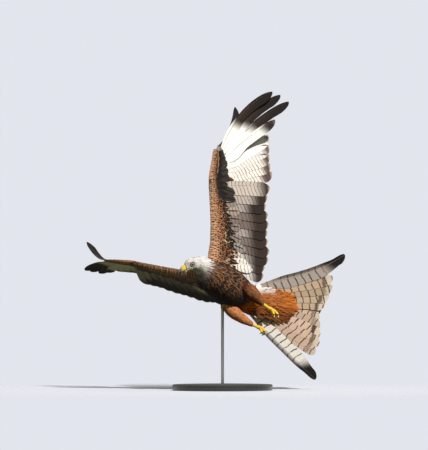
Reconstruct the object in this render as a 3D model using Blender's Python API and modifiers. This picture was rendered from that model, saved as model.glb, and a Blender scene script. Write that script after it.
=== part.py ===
"""A red kite in banked flight, life size, held up by a rod on a round display base.

The bird is shaped in its own frame, x forward, y to its left, z out of its back, with the
origin in the middle of the body. An empty turns that frame into the flying pose above the
base. Metres, +Z up, and the world origin is the middle of the base's underside.
"""

import math

import bmesh
import bpy
import numpy as np
from mathutils import Matrix, Quaternion, Vector

MM = 0.001
GAP = 0.3 * MM

# Flying pose: the body's heading, nose-up pitch and bank, and where its middle hangs.
HEADING = math.radians(220.1)
PITCH = math.radians(27.4)
BANK = math.radians(49.9)
BODY_AT = Vector((0.012, -0.035, 0.357))

# Stand.
BASE_RADIUS = 0.170
BASE_HEIGHT = 0.020
BASE_EDGE = 0.003
ROD_RADIUS = 0.005
ROD_TOP = 0.318

# Body sections along x: place, half width, height above and below the axis.
TORSO = (
    (-0.100, 0.046, 0.036, 0.042),
    (-0.075, 0.053, 0.043, 0.053),
    (-0.035, 0.061, 0.050, 0.064),
    (0.010, 0.065, 0.053, 0.069),
    (0.050, 0.060, 0.050, 0.065),
    (0.078, 0.053, 0.044, 0.057),
    (0.095, 0.047, 0.040, 0.050),
)
BODY_SIDES = 24
TORSO_SLICES = 10
NECK_STEPS = 5
SKULL_STEPS = 7
# How much wider a cutter is than the piece that it makes room for.
CUT_CLEAR = 0.4 * MM
# Edges sharper than this between two faces stay crisp.
CRISP = math.radians(40)

# Head: its middle, between the eyes, and its forward, left and up axes in the body's frame.
HEAD_AT = np.array((0.157, -0.013, 0.006))
HEAD_FORWARD = np.array((0.621, -0.780, -0.078))
HEAD_LEFT = np.array((0.523, 0.486, -0.700))

# Neck and head sections: centre in the body's frame, half width, above, below, share of the
# head's turn that the section has taken up.
NECK = (
    (0.0953, 0.000, 0.000, 0.0470, 0.0400, 0.0500, 0.00),
    (0.108, 0.001, 0.003, 0.0420, 0.0375, 0.0440, 0.15),
    (0.120, 0.001, 0.006, 0.0375, 0.0345, 0.0380, 0.33),
    (0.131, 0.000, 0.008, 0.0335, 0.0310, 0.0320, 0.52),
)
SKULL = (
    (0.1313, 0.000, 0.008, 0.0335, 0.0310, 0.0320, 0.52),
    (0.141, -0.003, 0.008, 0.0295, 0.0280, 0.0275, 0.70),
    (0.150, -0.008, 0.007, 0.0262, 0.0265, 0.0240, 0.87),
    (0.157, -0.013, 0.006, 0.0222, 0.0255, 0.0215, 1.00),
)
# The face goes on from the last skull section along the head's own forward axis.
FACE = (
    (0.008, 0.0208, 0.0235, 0.0205),
    (0.015, 0.0170, 0.0195, 0.0200),
    (0.0225, 0.0122, 0.0125, 0.0200),
)

# Eyes: the balls' radius and distance from the middle, and the lids' hoops round them.
EYE_RADIUS = 0.0078
EYE_SIDE = 0.0172
EYE_SIDES = 14
LID_SIDE = 0.0212
LID_RADIUS = 0.0070
LID_THICKNESS = 0.0016
LID_DEPTH = 0.0035
# Mouth line: its height, and for its two ends the place ahead and the slit's height. The core
# that the slit leaves whole: place ahead and half width.
MOUTH_Z = -0.0135
MOUTH_SIDE = 0.030
MOUTH = ((0.004, 0.0002), (0.026, 0.0008))
MOUTH_CORE = ((-0.002, 0.0165), (0.012, 0.0150), (0.0235, 0.0085))
MOUTH_CORE_Z = -0.012
MOUTH_CORE_HALF = 0.010

# Bill profile in the head's x and z: culmen point, cutting-edge point and half width.
BILL = (
    (0.0228, 0.0095, 0.0228, -0.0125, 0.0112),
    (0.0300, 0.0088, 0.0280, -0.0128, 0.0100),
    (0.0370, 0.0045, 0.0330, -0.0132, 0.0084),
    (0.0422, -0.0030, 0.0370, -0.0138, 0.0066),
    (0.0455, -0.0120, 0.0405, -0.0158, 0.0046),
    (0.0467, -0.0190, 0.0437, -0.0205, 0.0026),
    (0.0462, -0.0250, 0.0452, -0.0250, 0.0006),
)
CERE_SECTIONS = 3
BILL_SIDES = 10
LOWER_BILL = (
    (0.0228, -0.0129, 0.0228, -0.0192, 0.0098),
    (0.0300, -0.0133, 0.0300, -0.0184, 0.0080),
    (0.0345, -0.0141, 0.0342, -0.0172, 0.0058),
    (0.0370, -0.0150, 0.0368, -0.0160, 0.0030),
)
NOSTRIL_AT = (0.0278, 0.0, 0.0015)
NOSTRIL_RADIUS = 0.0011
NOSTRIL_STRETCH = 12.0

# Wings, left as named; the right one is built the same way and mirrored. The arm's reach,
# sweep and rise, its twist at the shoulder and the wrist, the hand's sweep, rise and twist,
# the innermost and outermost primary's turn from the hand, and how far the fingers bend.
SHOULDER = np.array((0.075, 0.035, 0.030))
HAND = 0.105
POSE = {
    "left": {
        "reach": 0.285, "arm": (33.2, 48.6), "twist": (-1.0, -2.3), "hand": (-4.4, 59.6, 0.4),
        "fan": (53.8, 16.9), "bend": 0.078, "tip_bend": 0.031, "bow": 1.0, "side": 1.0,
    },
    "right": {
        "reach": 0.250, "arm": (45.2, 34.0), "twist": (3.7, 11.9), "hand": (6.6, 50.5, 19.0),
        "fan": (52.8, 23.8), "bend": 0.025, "tip_bend": 0.069, "bow": 0.5, "side": -1.0,
    },
}
PRIMARY_LENGTH = (0.306, 0.304, 0.308, 0.320, 0.334, 0.318, 0.425, 0.396, 0.361, 0.262)
PRIMARY_BOW = (0.005, 0.005, 0.005, 0.005, 0.01, 0.01, 0.035, 0.05, 0.07, -0.02)
PRIMARY_TURN = (0.0, 0.0, 0.0, 0.0, 0.0, -2.5, 0.7, 0.0, 0.0, 0.0)
PRIMARIES = 10
FINGERS = 5
# Along the hand, where the first primary's root is, and how far behind the bone the roots lie.
PRIMARY_START = 0.06
PRIMARY_BEHIND = 0.012
# Along the arm, the last secondary, and the feathers' lengths at these shares of the arm.
SECONDARIES = 11
SECONDARY_END = 0.96
SECONDARY_PLACES = (0.06, 0.25, 0.50, 0.75, 0.97)
SECONDARY_LENGTH = (0.192, 0.210, 0.205, 0.214, 0.239)
SECONDARY_FOLD = 0.32
SECONDARY_SQUARE_AT = 0.75
SECONDARY_BOW = 0.007
ROOT_BEHIND = 0.030
# Webs before and behind the shaft, the bend towards the belly and the leading edge's tilt.
SECONDARY_WEBS = (0.016, 0.034)
PRIMARY_WEBS = (0.013, 0.030)
FINGER_WEBS = (0.010, 0.032)
SECONDARY_BEND = -0.012
PRIMARY_BEND = -0.015
FINGER_POWER = 2.6
SECONDARY_TILT = 0.08
PRIMARY_TILT = 0.12
# The wing's flesh along the arm and then along the hand: share of the bone, reach ahead of
# it, chord and thickness, and where on the chord a section has its points.
ARM_CORE = (
    (-0.12, 0.036, 0.142, 0.030), (0.06, 0.033, 0.138, 0.026), (0.25, 0.017, 0.110, 0.021),
    (0.50, 0.009, 0.090, 0.018), (0.75, 0.007, 0.074, 0.015), (0.93, 0.006, 0.058, 0.013),
)
HAND_CORE = (
    (0.10, 0.006, 0.046, 0.012), (0.45, 0.006, 0.036, 0.010), (0.85, 0.005, 0.027, 0.0075),
    (1.10, 0.004, 0.018, 0.005),
)
CORE_POINTS = (0.0, 0.06, 0.22, 0.5, 0.8, 1.0)
CORE_THICKEST = 0.22
CORE_EDGE = 1.1 * MM
CORE_SPLIT = (0.75, 1.25)
# The thumb's feathers: for each its place along the hand, behind the bone and off the flesh,
# its turn and its length.
ALULA = (
    (0.010, -0.001, 4.6 * MM, 0.00, 0.088), (0.014, 0.001, 5.9 * MM, 0.06, 0.074),
    (0.018, 0.003, 7.2 * MM, 0.12, 0.060),
)
ALULA_WEBS = (0.006, 0.010)
ALULA_TILT = 0.10
ALULA_ROOT = 1.0 * MM

# Feathers: where along its length a vane has its sections, and how thick it is.
FLIGHT_STATIONS = (0.0, 0.13, 0.38, 0.86, 1.0)
FINGER_STATIONS = (0.0, 0.13, 0.36, 0.50, 0.64, 0.82, 0.94, 1.0)
TAIL_STATIONS = (0.0, 0.12, 0.34, 0.62, 0.88, 1.0)
COVERT_STATIONS = (0.0, 0.48, 1.0)
FLIGHT_THICK = 1.0 * MM
COVERT_THICK = 0.8 * MM
# How wide a feather's root and end are left, as shares of its width, where it has filled out
# and starts to round off, and how far a finger or an outermost tail feather narrows, and where.
QUILL = 0.10
FILLED = (0.04, 0.38)
ROUNDED = 0.78
TIP = 0.30
COVERT_TIP = 0.55
TAIL_TIP = 0.55
FINGER_SLOT = 0.26
SLOT_AT = 0.4
SLOT_RUN = 0.2
# A feather bows most where this factor makes its bow a share of its length, and a plate is
# thicker at its root.
BOW_SCALE = 2.1
ROOT_THICK = 0.6
# Covert tiers, on each face of the wing: how far the tips reach behind the leading edge at
# the body, the elbow, the wrist and the hand's end, how high the tier lies over the flight
# feathers, how many of these one covert spans, and the last primary that it reaches.
TIERS = (
    {"reach": (0.150, 0.140, 0.118, 0.108), "lift": 3.6 * MM, "step": 1, "hand": 10},
    {"reach": (0.105, 0.095, 0.078, 0.070), "lift": 6.2 * MM, "step": 2, "hand": 4},
    {"reach": (0.175, 0.150, 0.105, 0.085), "lift": -3.8 * MM, "step": 1, "hand": 10},
    {"reach": (0.115, 0.100, 0.075, 0.062), "lift": -6.6 * MM, "step": 2, "hand": 4},
)
COVERT_WEBS = (0.012, 0.016)
COVERT_WIDER = 0.45
COVERT_ROOT_LIFT = 0.45
COVERT_SUNK = 0.6

# Tail: its root, its backward and leftward axes, and from the middle pair outward the
# feathers' angles from the middle, their lengths and how far they bow outward. The webs are
# the outer and inner web of the middle pair, the outermost pair and those between.
TAIL_AT = np.array((-0.100, 0.0, 0.0))
TAIL_BACK = np.array((-0.925, 0.375, -0.054))
TAIL_LEFT = np.array((0.306, 0.821, 0.482))
TAIL_SPREAD = (2.1, 6.2, 10.2, 14.6, 19.4, 29.8)
TAIL_LENGTH = (0.272, 0.281, 0.291, 0.300, 0.300, 0.354)
TAIL_BOW = (0.0, -0.003, -0.006, -0.010, -0.020, -0.055)
TAIL_SIDES = {
    1.0: {"middle": 1.6 * MM, "lift": -1.0 * MM, "bow": 1.0},
    -1.0: {"middle": 0.3 * MM, "lift": -2.2 * MM, "bow": 0.0},
}
TAIL_WEBS = ((0.021, 0.021), (0.014, 0.027), (0.014, 0.033))
TAIL_ROOT = 0.010
TAIL_ROOT_STEP = 0.0078
TAIL_TILT = 0.09
TAIL_SLOT = 0.35
TAIL_SLOT_AT = 0.72
# The tail's flesh: how far back, half width, height above and below.
TAIL_CORE = (
    (0.030, 0.047, 0.027, 0.036), (0.060, 0.042, 0.018, 0.027), (0.090, 0.033, 0.011, 0.018),
    (0.120, 0.022, 0.006, 0.011), (0.150, 0.012, 0.003, 0.005),
)
# Covert tiers at the tail's root: face (1 over, -1 under), feathers, how far back they start
# and end, their height over the feathers at both ends, and how far the tier fans out.
TAIL_COVERTS = (
    (-1.0, 7, 0.075, 0.182, (0.016, 0.0078), 15.0), (-1.0, 6, 0.045, 0.130, (0.026, 0.0150), 18.0),
    (1.0, 7, 0.050, 0.135, (0.016, 0.0070), 15.0),
)
TAIL_COVERT_WEB = 0.016
TAIL_COVERT_SPAN = 0.022
TAIL_COVERT_SHORTER = 0.030
TAIL_COVERT_FLATTER = 0.35
TAIL_COVERT_STAGGER = 1.3 * MM

# Legs, left as named: hip, knee bulge, ankle and toe tip in the body's frame.
LEGS = {
    "left": ((-0.020, 0.040, -0.030), (-0.068, 0.046, -0.050), (-0.110, 0.042, -0.069),
             (-0.166, 0.051, -0.103)),
    "right": ((-0.016, -0.044, -0.034), (-0.070, -0.050, -0.064), (-0.130, -0.034, -0.089),
              (-0.171, -0.021, -0.106)),
}

# Thigh radii at shares of its length, and shank radii at the ends of its parts.
THIGH_PLACES = (0.0, 0.14, 0.3, 0.65, 1.0)
THIGH_RADII = {
    "left": (0.018, 0.025, 0.028, 0.020, 0.0085),
    "right": (0.015, 0.021, 0.0245, 0.018, 0.0085),
}
THIGH_STEPS = 8
THIGH_SIDES = 14
SHANK_RADII = (0.0056, 0.0053, 0.0050, 0.0064)
SHANK_SIDES = 8
SHANK = 0.45
SHANK_BEND = 0.25
SHANK_START = 0.004
# Toes of each foot: spread from straight ahead, length and how far the tip curls down.
TOES = {
    "left": ((-0.26, 0.036, 0.012), (0.0, 0.044, 0.013), (0.26, 0.037, 0.012), (0.15, 0.024, 0.018)),
    "right": ((-0.24, 0.027, 0.015), (0.02, 0.030, 0.017), (0.28, 0.027, 0.015), (0.1, 0.018, 0.020)),
}
TOE_ROOT = 0.003
TOE_KNUCKLE = (0.60, 0.35)
TOE_RADII = (0.0054, 0.0036)
TOE_STEPS = 5
TOE_SIDES = 6
# Claws: how far each control point lies on along the toe and down from its tip.
CLAW = ((-0.004, 0.0), (0.006, 0.001), (0.005, 0.010))
CLAW_RADII = (0.0026, 0.0005)
CLAW_STEPS = 4
CLAW_SIDES = 5
SOLE_HINT = (0.0, 0.25, 1.0)

COLOURS = {
    "plumage": ((0.20, 0.075, 0.030), 0.8, 0.0),
    "pale": ((0.52, 0.47, 0.42), 0.8, 0.0),
    "wing": ((0.12, 0.075, 0.050), 0.7, 0.0),
    "tail": ((0.42, 0.26, 0.15), 0.7, 0.0),
    "thigh": ((0.42, 0.17, 0.06), 0.8, 0.0),
    "yellow": ((0.80, 0.55, 0.03), 0.45, 0.0),
    "horn": ((0.10, 0.10, 0.09), 0.35, 0.0),
    "eye": ((0.70, 0.66, 0.50), 0.05, 0.0),
    "steel": ((0.55, 0.55, 0.56), 0.30, 1.0),
    "lacquer": ((0.02, 0.02, 0.022), 0.35, 0.0),
}


def unit(vector):
    """The vector at length one."""
    vector = np.asarray(vector, float)
    return vector / np.linalg.norm(vector)


def smooth(low, high, value):
    """A soft step from 0 at low to 1 at high."""
    share = np.clip((np.asarray(value, float) - low) / (high - low), 0.0, 1.0)
    return share * share * (3.0 - 2.0 * share)


def material(name):
    """A Principled material in one of the model's colours."""
    if name in bpy.data.materials:
        return bpy.data.materials[name]
    colour, roughness, metallic = COLOURS[name]
    made = bpy.data.materials.new(name)
    made.use_nodes = True
    shader = made.node_tree.nodes["Principled BSDF"]
    shader.inputs["Base Color"].default_value = (*colour, 1.0)
    shader.inputs["Roughness"].default_value = roughness
    shader.inputs["Metallic"].default_value = metallic
    return made


def solid(name, points, faces, look, collection):
    """A closed mesh object with its faces turned outward."""
    mesh = bpy.data.meshes.new(name)
    mesh.from_pydata([tuple(map(float, p)) for p in points], [], faces)
    shape = bmesh.new()
    shape.from_mesh(mesh)
    bmesh.ops.recalc_face_normals(shape, faces=shape.faces)
    shape.to_mesh(mesh)
    shape.free()
    return add(name, mesh, look, collection)


def add(name, mesh, look, collection):
    """An object for the mesh; in a hidden collection it is a cutter or a piece to be joined."""
    mesh.materials.append(material(look))
    made = bpy.data.objects.new(name, mesh)
    made.hide_render = collection.hide_render
    made.display_type = "WIRE" if collection.hide_render else "TEXTURED"
    collection.objects.link(made)
    return made


def loft(name, rings, look, collection):
    """A closed skin over rings of points, with a flat cap on each end."""
    count = len(rings[0])
    faces = [tuple(range(count)), tuple(range((len(rings) - 1) * count, len(rings) * count))]
    for row in range(len(rings) - 1):
        for k in range(count):
            a, b = row * count + k, row * count + (k + 1) % count
            faces.append((a, b, b + count, a + count))
    return solid(name, np.concatenate(rings), faces, look, collection)


def oval(centre, left, up, half_width, above, below, sides):
    """A ring round the centre, with its own height above and below."""
    angle = np.arange(sides) * 2.0 * math.pi / sides
    rise = np.where(np.sin(angle) > 0.0, above, below) * np.sin(angle)
    return centre + np.outer(half_width * np.cos(angle), left) + np.outer(rise, up)


def tube(name, points, radii, sides, look, collection):
    """A tapering round limb along a path."""
    points = np.asarray(points, float)
    along = np.gradient(points, axis=0)
    rings = []
    side = unit(np.cross(along[0], (0.1, 0.3, 1.0)))
    for centre, ahead, radius in zip(points, along, radii):
        ahead = unit(ahead)
        side = unit(side - ahead * (side @ ahead))
        rings.append(oval(centre, side, np.cross(ahead, side), radius, radius, radius, sides))
    return loft(name, rings, look, collection)


def boolean(target, operation, other=None, group=None):
    """Applies one Boolean with an object or a collection to the target."""
    change = target.modifiers.new(operation.title(), "BOOLEAN")
    change.operation = operation
    change.solver = "EXACT"
    if group is None:
        change.object = other
    else:
        change.operand_type = "COLLECTION"
        change.collection = group
    graph = bpy.context.evaluated_depsgraph_get()
    result = bpy.data.meshes.new_from_object(target.evaluated_get(graph))
    target.modifiers.clear()
    target.data = result


def keep_largest(target):
    """Drops every closed surface of the object but the one with the most room inside."""
    shape = bmesh.new()
    shape.from_mesh(target.data)
    unseen = set(shape.faces)
    shells = []
    while unseen:
        stack = [unseen.pop()]
        shell = []
        while stack:
            face = stack.pop()
            shell.append(face)
            for edge in face.edges:
                for other in edge.link_faces:
                    if other in unseen:
                        unseen.remove(other)
                        stack.append(other)
        shells.append(shell)
    shells.sort(key=lambda shell: sum(face.calc_area() for face in shell))
    spare = [face for shell in shells[:-1] for face in shell]
    if spare:
        bmesh.ops.delete(shape, geom=spare, context="FACES")
    shape.to_mesh(target.data)
    shape.free()


def fuse(target, group):
    """Joins a collection of closed pieces to the target and clears the collection."""
    boolean(target, "UNION", group=group)
    for piece in list(group.objects):
        bpy.data.objects.remove(piece)
    keep_largest(target)


def new_collection(name, hidden=False):
    """A collection in the scene; a hidden one holds cutters and pieces to be joined."""
    made = bpy.data.collections.new(name)
    made.hide_render = hidden
    bpy.context.scene.collection.children.link(made)
    return made


def torso_rings(grow=0.0):
    """The torso's sections, swollen by grow for a cutter."""
    rows = []
    places = np.array(TORSO)
    for x in np.linspace(places[0, 0] - grow, places[-1, 0] + grow, TORSO_SLICES):
        width, above, below = (np.interp(x, places[:, 0], places[:, k]) for k in (1, 2, 3))
        rows.append(oval((x, 0.0, 0.0), (0, 1, 0), (0, 0, 1), width + grow, above + grow,
                         below + grow, BODY_SIDES))
    return rows


def head_frame():
    """The head's forward, left and up axes."""
    forward = unit(HEAD_FORWARD)
    left = unit(HEAD_LEFT - forward * (HEAD_LEFT @ forward))
    return forward, left, np.cross(forward, left)


def turned(share):
    """The left and up axes of a neck section that has taken up this share of the turn."""
    axes = Matrix([Vector(v) for v in head_frame()]).transposed()
    turn = Quaternion().slerp(axes.to_quaternion(), share).to_matrix()
    return np.array(turn.col[1]), np.array(turn.col[2])


def neck_rings(table, steps, grow=0.0):
    """Sections through a table of neck or skull sections, swollen by grow for a cutter."""
    table = np.array(table)
    places = np.linspace(0, len(table) - 1, steps)
    rings = []
    for row in np.array([np.interp(places, range(len(table)), c) for c in table.T]).T:
        left, up = turned(row[6])
        rings.append(oval(row[:3], left, up, *(row[3:6] + grow), BODY_SIDES))
    return rings


def head_point(x, y, z):
    """A point of the head's frame in the body's frame."""
    forward, left, up = head_frame()
    return HEAD_AT + forward * x + left * y + up * z


def bill_rings(table):
    """Upright slices of the bill between its culmen and its cutting edge."""
    _, left, _ = head_frame()
    rings = []
    for top_x, top_z, low_x, low_z, half_width in table:
        top, low = head_point(top_x, 0, top_z), head_point(low_x, 0, low_z)
        half = (top - low) / 2.0
        angle = np.arange(BILL_SIDES) * 2.0 * math.pi / BILL_SIDES
        rise = np.sign(np.sin(angle)) * np.abs(np.sin(angle)) ** np.where(angle > math.pi, 0.5, 1.0)
        rings.append((top + low) / 2.0 + np.outer(rise, half)
                     + np.outer(half_width * np.cos(angle), left))
    return rings


def ball(name, centre, radius, look, collection, segments):
    """A round ball."""
    mesh = bpy.data.meshes.new(name)
    shape = bmesh.new()
    bmesh.ops.create_uvsphere(shape, u_segments=segments, v_segments=segments // 2,
                              radius=radius)
    shape.to_mesh(mesh)
    shape.free()
    made = add(name, mesh, look, collection)
    made.location = centre
    bpy.context.view_layer.update()
    return made


def direction(sweep, rise):
    """A wing bone's direction: swept forward of straight out, and raised."""
    sweep, rise = math.radians(sweep), math.radians(rise)
    return np.array((math.sin(sweep) * math.cos(rise), math.cos(sweep) * math.cos(rise),
                     math.sin(rise)))


def wing_axes(sweep, rise, twist):
    """A bone's direction, the chord direction behind it and the normal out of its back."""
    out = direction(sweep, rise)
    back = unit(np.array((-1.0, 0, 0)) + out[0] * out)
    dorsal = np.cross(out, back)
    twist = math.radians(twist)
    chord = math.cos(twist) * back + math.sin(twist) * dorsal
    return out, chord, np.cross(out, chord)


def arm_axes(pose, share):
    """The arm's axes at a share of the way from the shoulder to the wrist."""
    root, tip = pose["twist"]
    return wing_axes(*pose["arm"], root + (tip - root) * share)


def wrist_of(pose):
    """Where the arm ends and the hand starts."""
    return SHOULDER + pose["reach"] * direction(*pose["arm"])


def vane(row, side, look, group):
    """One feather: a thin plate along a bowed, bent shaft, its leading edge tipped up."""
    s = np.array(row["stations"])
    along, normal, length = unit(row["along"]), unit(row["normal"]), row["length"]
    ahead = np.cross(along, normal)
    root_lift, tip_lift = row.get("lift", (0.0, 0.0))
    rise = root_lift + (tip_lift - root_lift) * smooth(0.0, 0.4, s)
    rise = rise + row.get("bend", 0.0) * s ** row.get("power", 2.0)
    bow = BOW_SCALE * row.get("bow", 0.0) * length * (s - s**4)
    path = row["root"] + np.outer(s * length, along) + np.outer(bow, ahead) + np.outer(rise, normal)
    tangent = np.gradient(path, s, axis=0)
    tangent /= np.linalg.norm(tangent, axis=1)[:, None]
    up = normal - tangent * (tangent @ normal)[:, None]
    up /= np.linalg.norm(up, axis=1)[:, None]
    tilt = row.get("tilt", 0.0)
    edge = np.cross(tangent, up) * math.cos(tilt) + up * math.sin(tilt)
    face = np.cross(edge, tangent)
    slot_at = row.get("slot_at", SLOT_AT)
    width = QUILL + (1.0 - QUILL) * smooth(*FILLED, s)
    width = width * (1.0 - row.get("slot", 0.0) * smooth(slot_at, slot_at + SLOT_RUN, s))
    width = width * np.sqrt(1.0 - (1.0 - row.get("tip", TIP) ** 2) * smooth(ROUNDED, 1.0, s) ** 2)
    half = row["thick"] / 2.0 * (1.0 + ROOT_THICK * (1.0 - smooth(0.0, 0.25, s)))
    rings = np.stack([
        path + edge * (row["lead"] * width)[:, None] + face * half[:, None],
        path - edge * (row["trail"] * width)[:, None] + face * half[:, None],
        path - edge * (row["trail"] * width)[:, None] - face * half[:, None],
        path + edge * (row["lead"] * width)[:, None] - face * half[:, None],
    ], axis=1)
    return plate("vane", rings * (1.0, side, 1.0), look, group)


def plate(name, rings, look, group):
    """A thin plate over four-cornered sections, split alike on both of its faces."""
    faces = [(0, 1, 2), (0, 2, 3)]
    last = 4 * (len(rings) - 1)
    faces += [(last, last + 1, last + 2), (last, last + 2, last + 3)]
    for row in range(len(rings) - 1):
        a = 4 * row
        b = a + 4
        faces += [(a, a + 1, b + 1), (a, b + 1, b), (a + 3, a + 2, b + 2), (a + 3, b + 2, b + 3)]
        faces += [(a + 1, a + 2, b + 2), (a + 1, b + 2, b + 1), (a, a + 3, b + 3), (a, b + 3, b)]
    return solid(name, rings.reshape(-1, 3), faces, look, group)


def secondaries(pose):
    """The arm's flight feathers from the body to the wrist."""
    rows = []
    for share in np.linspace(SECONDARY_PLACES[0], SECONDARY_END, SECONDARIES):
        arm, arm_back, arm_up = arm_axes(pose, share)
        turn = SECONDARY_FOLD * (share - SECONDARY_SQUARE_AT)
        behind = ROOT_BEHIND * (1.4 - abs(2.0 * share - 1.0) * 0.7)
        rows.append({
            "root": SHOULDER + share * pose["reach"] * arm + behind * arm_back,
            "along": math.sin(turn) * arm + math.cos(turn) * arm_back, "normal": arm_up,
            "length": float(np.interp(share, SECONDARY_PLACES, SECONDARY_LENGTH)),
            "lead": SECONDARY_WEBS[0], "trail": SECONDARY_WEBS[1], "bow": SECONDARY_BOW,
            "bend": SECONDARY_BEND, "power": 2.0, "tilt": SECONDARY_TILT,
            "thick": FLIGHT_THICK, "stations": FLIGHT_STATIONS,
            "behind": behind, "place": share * 2.0 / 3.0, "primary": 0,
        })
    return rows


def primaries(pose):
    """The hand's flight feathers, the last five of them fingers, from the wrist to the tip."""
    hand, hand_back, hand_up = wing_axes(*pose["hand"])
    fan_in, fan_out = (math.radians(a) for a in pose["fan"])
    rows = []
    for k, (length, bow, apart) in enumerate(zip(PRIMARY_LENGTH, PRIMARY_BOW, PRIMARY_TURN)):
        number = k + 1
        share = k / (PRIMARIES - 1)
        turn = fan_in + (fan_out - fan_in) * share + math.radians(apart)
        finger = number > PRIMARIES - FINGERS
        bend = -pose["bend"] if finger else PRIMARY_BEND
        lead, trail = FINGER_WEBS if finger else PRIMARY_WEBS
        place = HAND * (PRIMARY_START + (1.0 - PRIMARY_START) * share)
        rows.append({
            "root": wrist_of(pose) + place * hand + PRIMARY_BEHIND * hand_back,
            "along": math.cos(turn) * hand + math.sin(turn) * hand_back, "normal": hand_up,
            "length": length, "bow": bow * pose["bow"], "tilt": PRIMARY_TILT,
            "thick": FLIGHT_THICK, "lead": lead, "trail": trail,
            "bend": pose["tip_bend"] if number == PRIMARIES else bend,
            "power": FINGER_POWER if finger else 2.0, "slot": FINGER_SLOT if finger else 0.0,
            "stations": FINGER_STATIONS if finger else FLIGHT_STATIONS,
            "behind": 0.018, "place": 2.0 / 3.0 + share / 3.0, "primary": number,
        })
    return rows


def wing_coverts(flight):
    """The covert tiers on both faces of the wing; a covert follows its flight feather's bend."""
    rows = []
    for tier in TIERS:
        lead, trail = (web * (1.0 + COVERT_WIDER * (tier["step"] - 1)) for web in COVERT_WEBS)
        for feather in flight[::tier["step"]]:
            if feather["primary"] > tier["hand"]:
                continue
            sunk = COVERT_SUNK * feather["behind"]
            reach = float(np.interp(feather["place"], (0.0, 1 / 3, 2 / 3, 1.0), tier["reach"]))
            length = reach - feather["behind"] + sunk
            share = length / feather["length"]
            rows.append({
                "root": feather["root"] - sunk * feather["along"], "length": length,
                "along": feather["along"], "normal": feather["normal"], "power": feather["power"],
                "bend": feather["bend"] * share ** feather["power"], "tilt": feather["tilt"],
                "lead": lead, "trail": trail, "tip": COVERT_TIP, "thick": COVERT_THICK,
                "lift": (COVERT_ROOT_LIFT * tier["lift"], tier["lift"]),
                "stations": COVERT_STATIONS,
            })
    return rows


def alula(pose):
    """The thumb's stiff feathers, which lie along the leading edge past the wrist."""
    hand, hand_back, hand_up = wing_axes(*pose["hand"])
    return [{
        "root": wrist_of(pose) + place * hand + behind * hand_back,
        "along": math.cos(turn) * hand + math.sin(turn) * hand_back, "normal": hand_up,
        "length": length, "lead": ALULA_WEBS[0], "trail": ALULA_WEBS[1], "tilt": ALULA_TILT,
        "thick": COVERT_THICK, "lift": (ALULA_ROOT, lift), "stations": COVERT_STATIONS,
    } for place, behind, lift, turn, length in ALULA]


def airfoil(lead, back, up, chord, thickness):
    """A wing section: a blunt leading edge, swelling soon and thinning to the rear."""
    share = np.array(CORE_POINTS)
    swell = share / CORE_THICKEST
    half = thickness / 2.0 * np.sqrt(swell) * np.exp(0.5 * (1.0 - swell))
    half = np.maximum(half, CORE_EDGE)
    half[0] = 0.0
    over, under = CORE_SPLIT
    top = lead + np.outer(share * chord, back) + np.outer(over * half, up)
    low = lead + np.outer(share * chord, back) - np.outer(under * half, up)
    return np.concatenate([top, low[:0:-1]])


def wing_core_rings(pose):
    """Sections of the wing's flesh: the shoulder inside the body, the arm and the hand."""
    hand, hand_back, hand_up = wing_axes(*pose["hand"])
    wrist = wrist_of(pose)
    rings = []
    for share, ahead, chord, thick in ARM_CORE:
        arm, arm_back, arm_up = arm_axes(pose, share)
        lead = SHOULDER + share * pose["reach"] * arm - ahead * arm_back
        rings.append(airfoil(lead, arm_back, arm_up, chord, thick))
    for share, ahead, chord, thick in HAND_CORE:
        lead = wrist + share * HAND * hand - ahead * hand_back
        rings.append(airfoil(lead, hand_back, hand_up, chord, thick))
    return rings


def mirrored(rings, side):
    """The same rings on the bird's left for side 1 and on its right for side -1."""
    return [ring * (1.0, side, 1.0) for ring in rings]


def build_wing(name, parts, pieces, cutters):
    """One wing: its flesh and its feathers as one body, cut clear of the torso."""
    pose = POSE[name]
    side = pose["side"]
    wing = loft("wing_" + name, mirrored(wing_core_rings(pose), side), "wing", parts)
    flight = secondaries(pose) + primaries(pose)
    for row in flight + wing_coverts(flight) + alula(pose):
        vane(row, side, "wing", pieces)
    fuse(wing, pieces)
    for cutter in cutters:
        boolean(wing, "DIFFERENCE", other=cutter)
    keep_largest(wing)


def tail_frame():
    """The tail's backward, left and back-of-the-bird axes."""
    back = unit(TAIL_BACK)
    left = unit(TAIL_LEFT - back * (TAIL_LEFT @ back))
    return back, left, np.cross(left, back)


def tail_feathers():
    """The tail feathers of both sides, from the middle pair outward."""
    back, left, up = tail_frame()
    rows = []
    for side, half in TAIL_SIDES.items():
        for k, (spread, length, bow) in enumerate(zip(TAIL_SPREAD, TAIL_LENGTH, TAIL_BOW)):
            angle = math.radians(spread) * side
            outermost = k == len(TAIL_SPREAD) - 1
            outer, inner = TAIL_WEBS[2 if outermost else min(k, 1)]
            lift = half["lift"] if k else half["middle"]
            rows.append({
                "root": TAIL_AT + TAIL_ROOT * back + TAIL_ROOT_STEP * (k + 0.5) * side * left,
                "along": math.cos(angle) * back + math.sin(angle) * left, "normal": up,
                "length": length, "bow": side * bow * half["bow"], "tilt": TAIL_TILT * side if k else 0.0,
                "lead": outer if side > 0.0 else inner, "trail": inner if side > 0.0 else outer,
                "tip": TAIL_TIP, "slot": TAIL_SLOT if outermost else 0.0, "slot_at": TAIL_SLOT_AT,
                "lift": (lift, lift), "thick": FLIGHT_THICK, "stations": TAIL_STATIONS,
            })
    return rows


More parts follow.
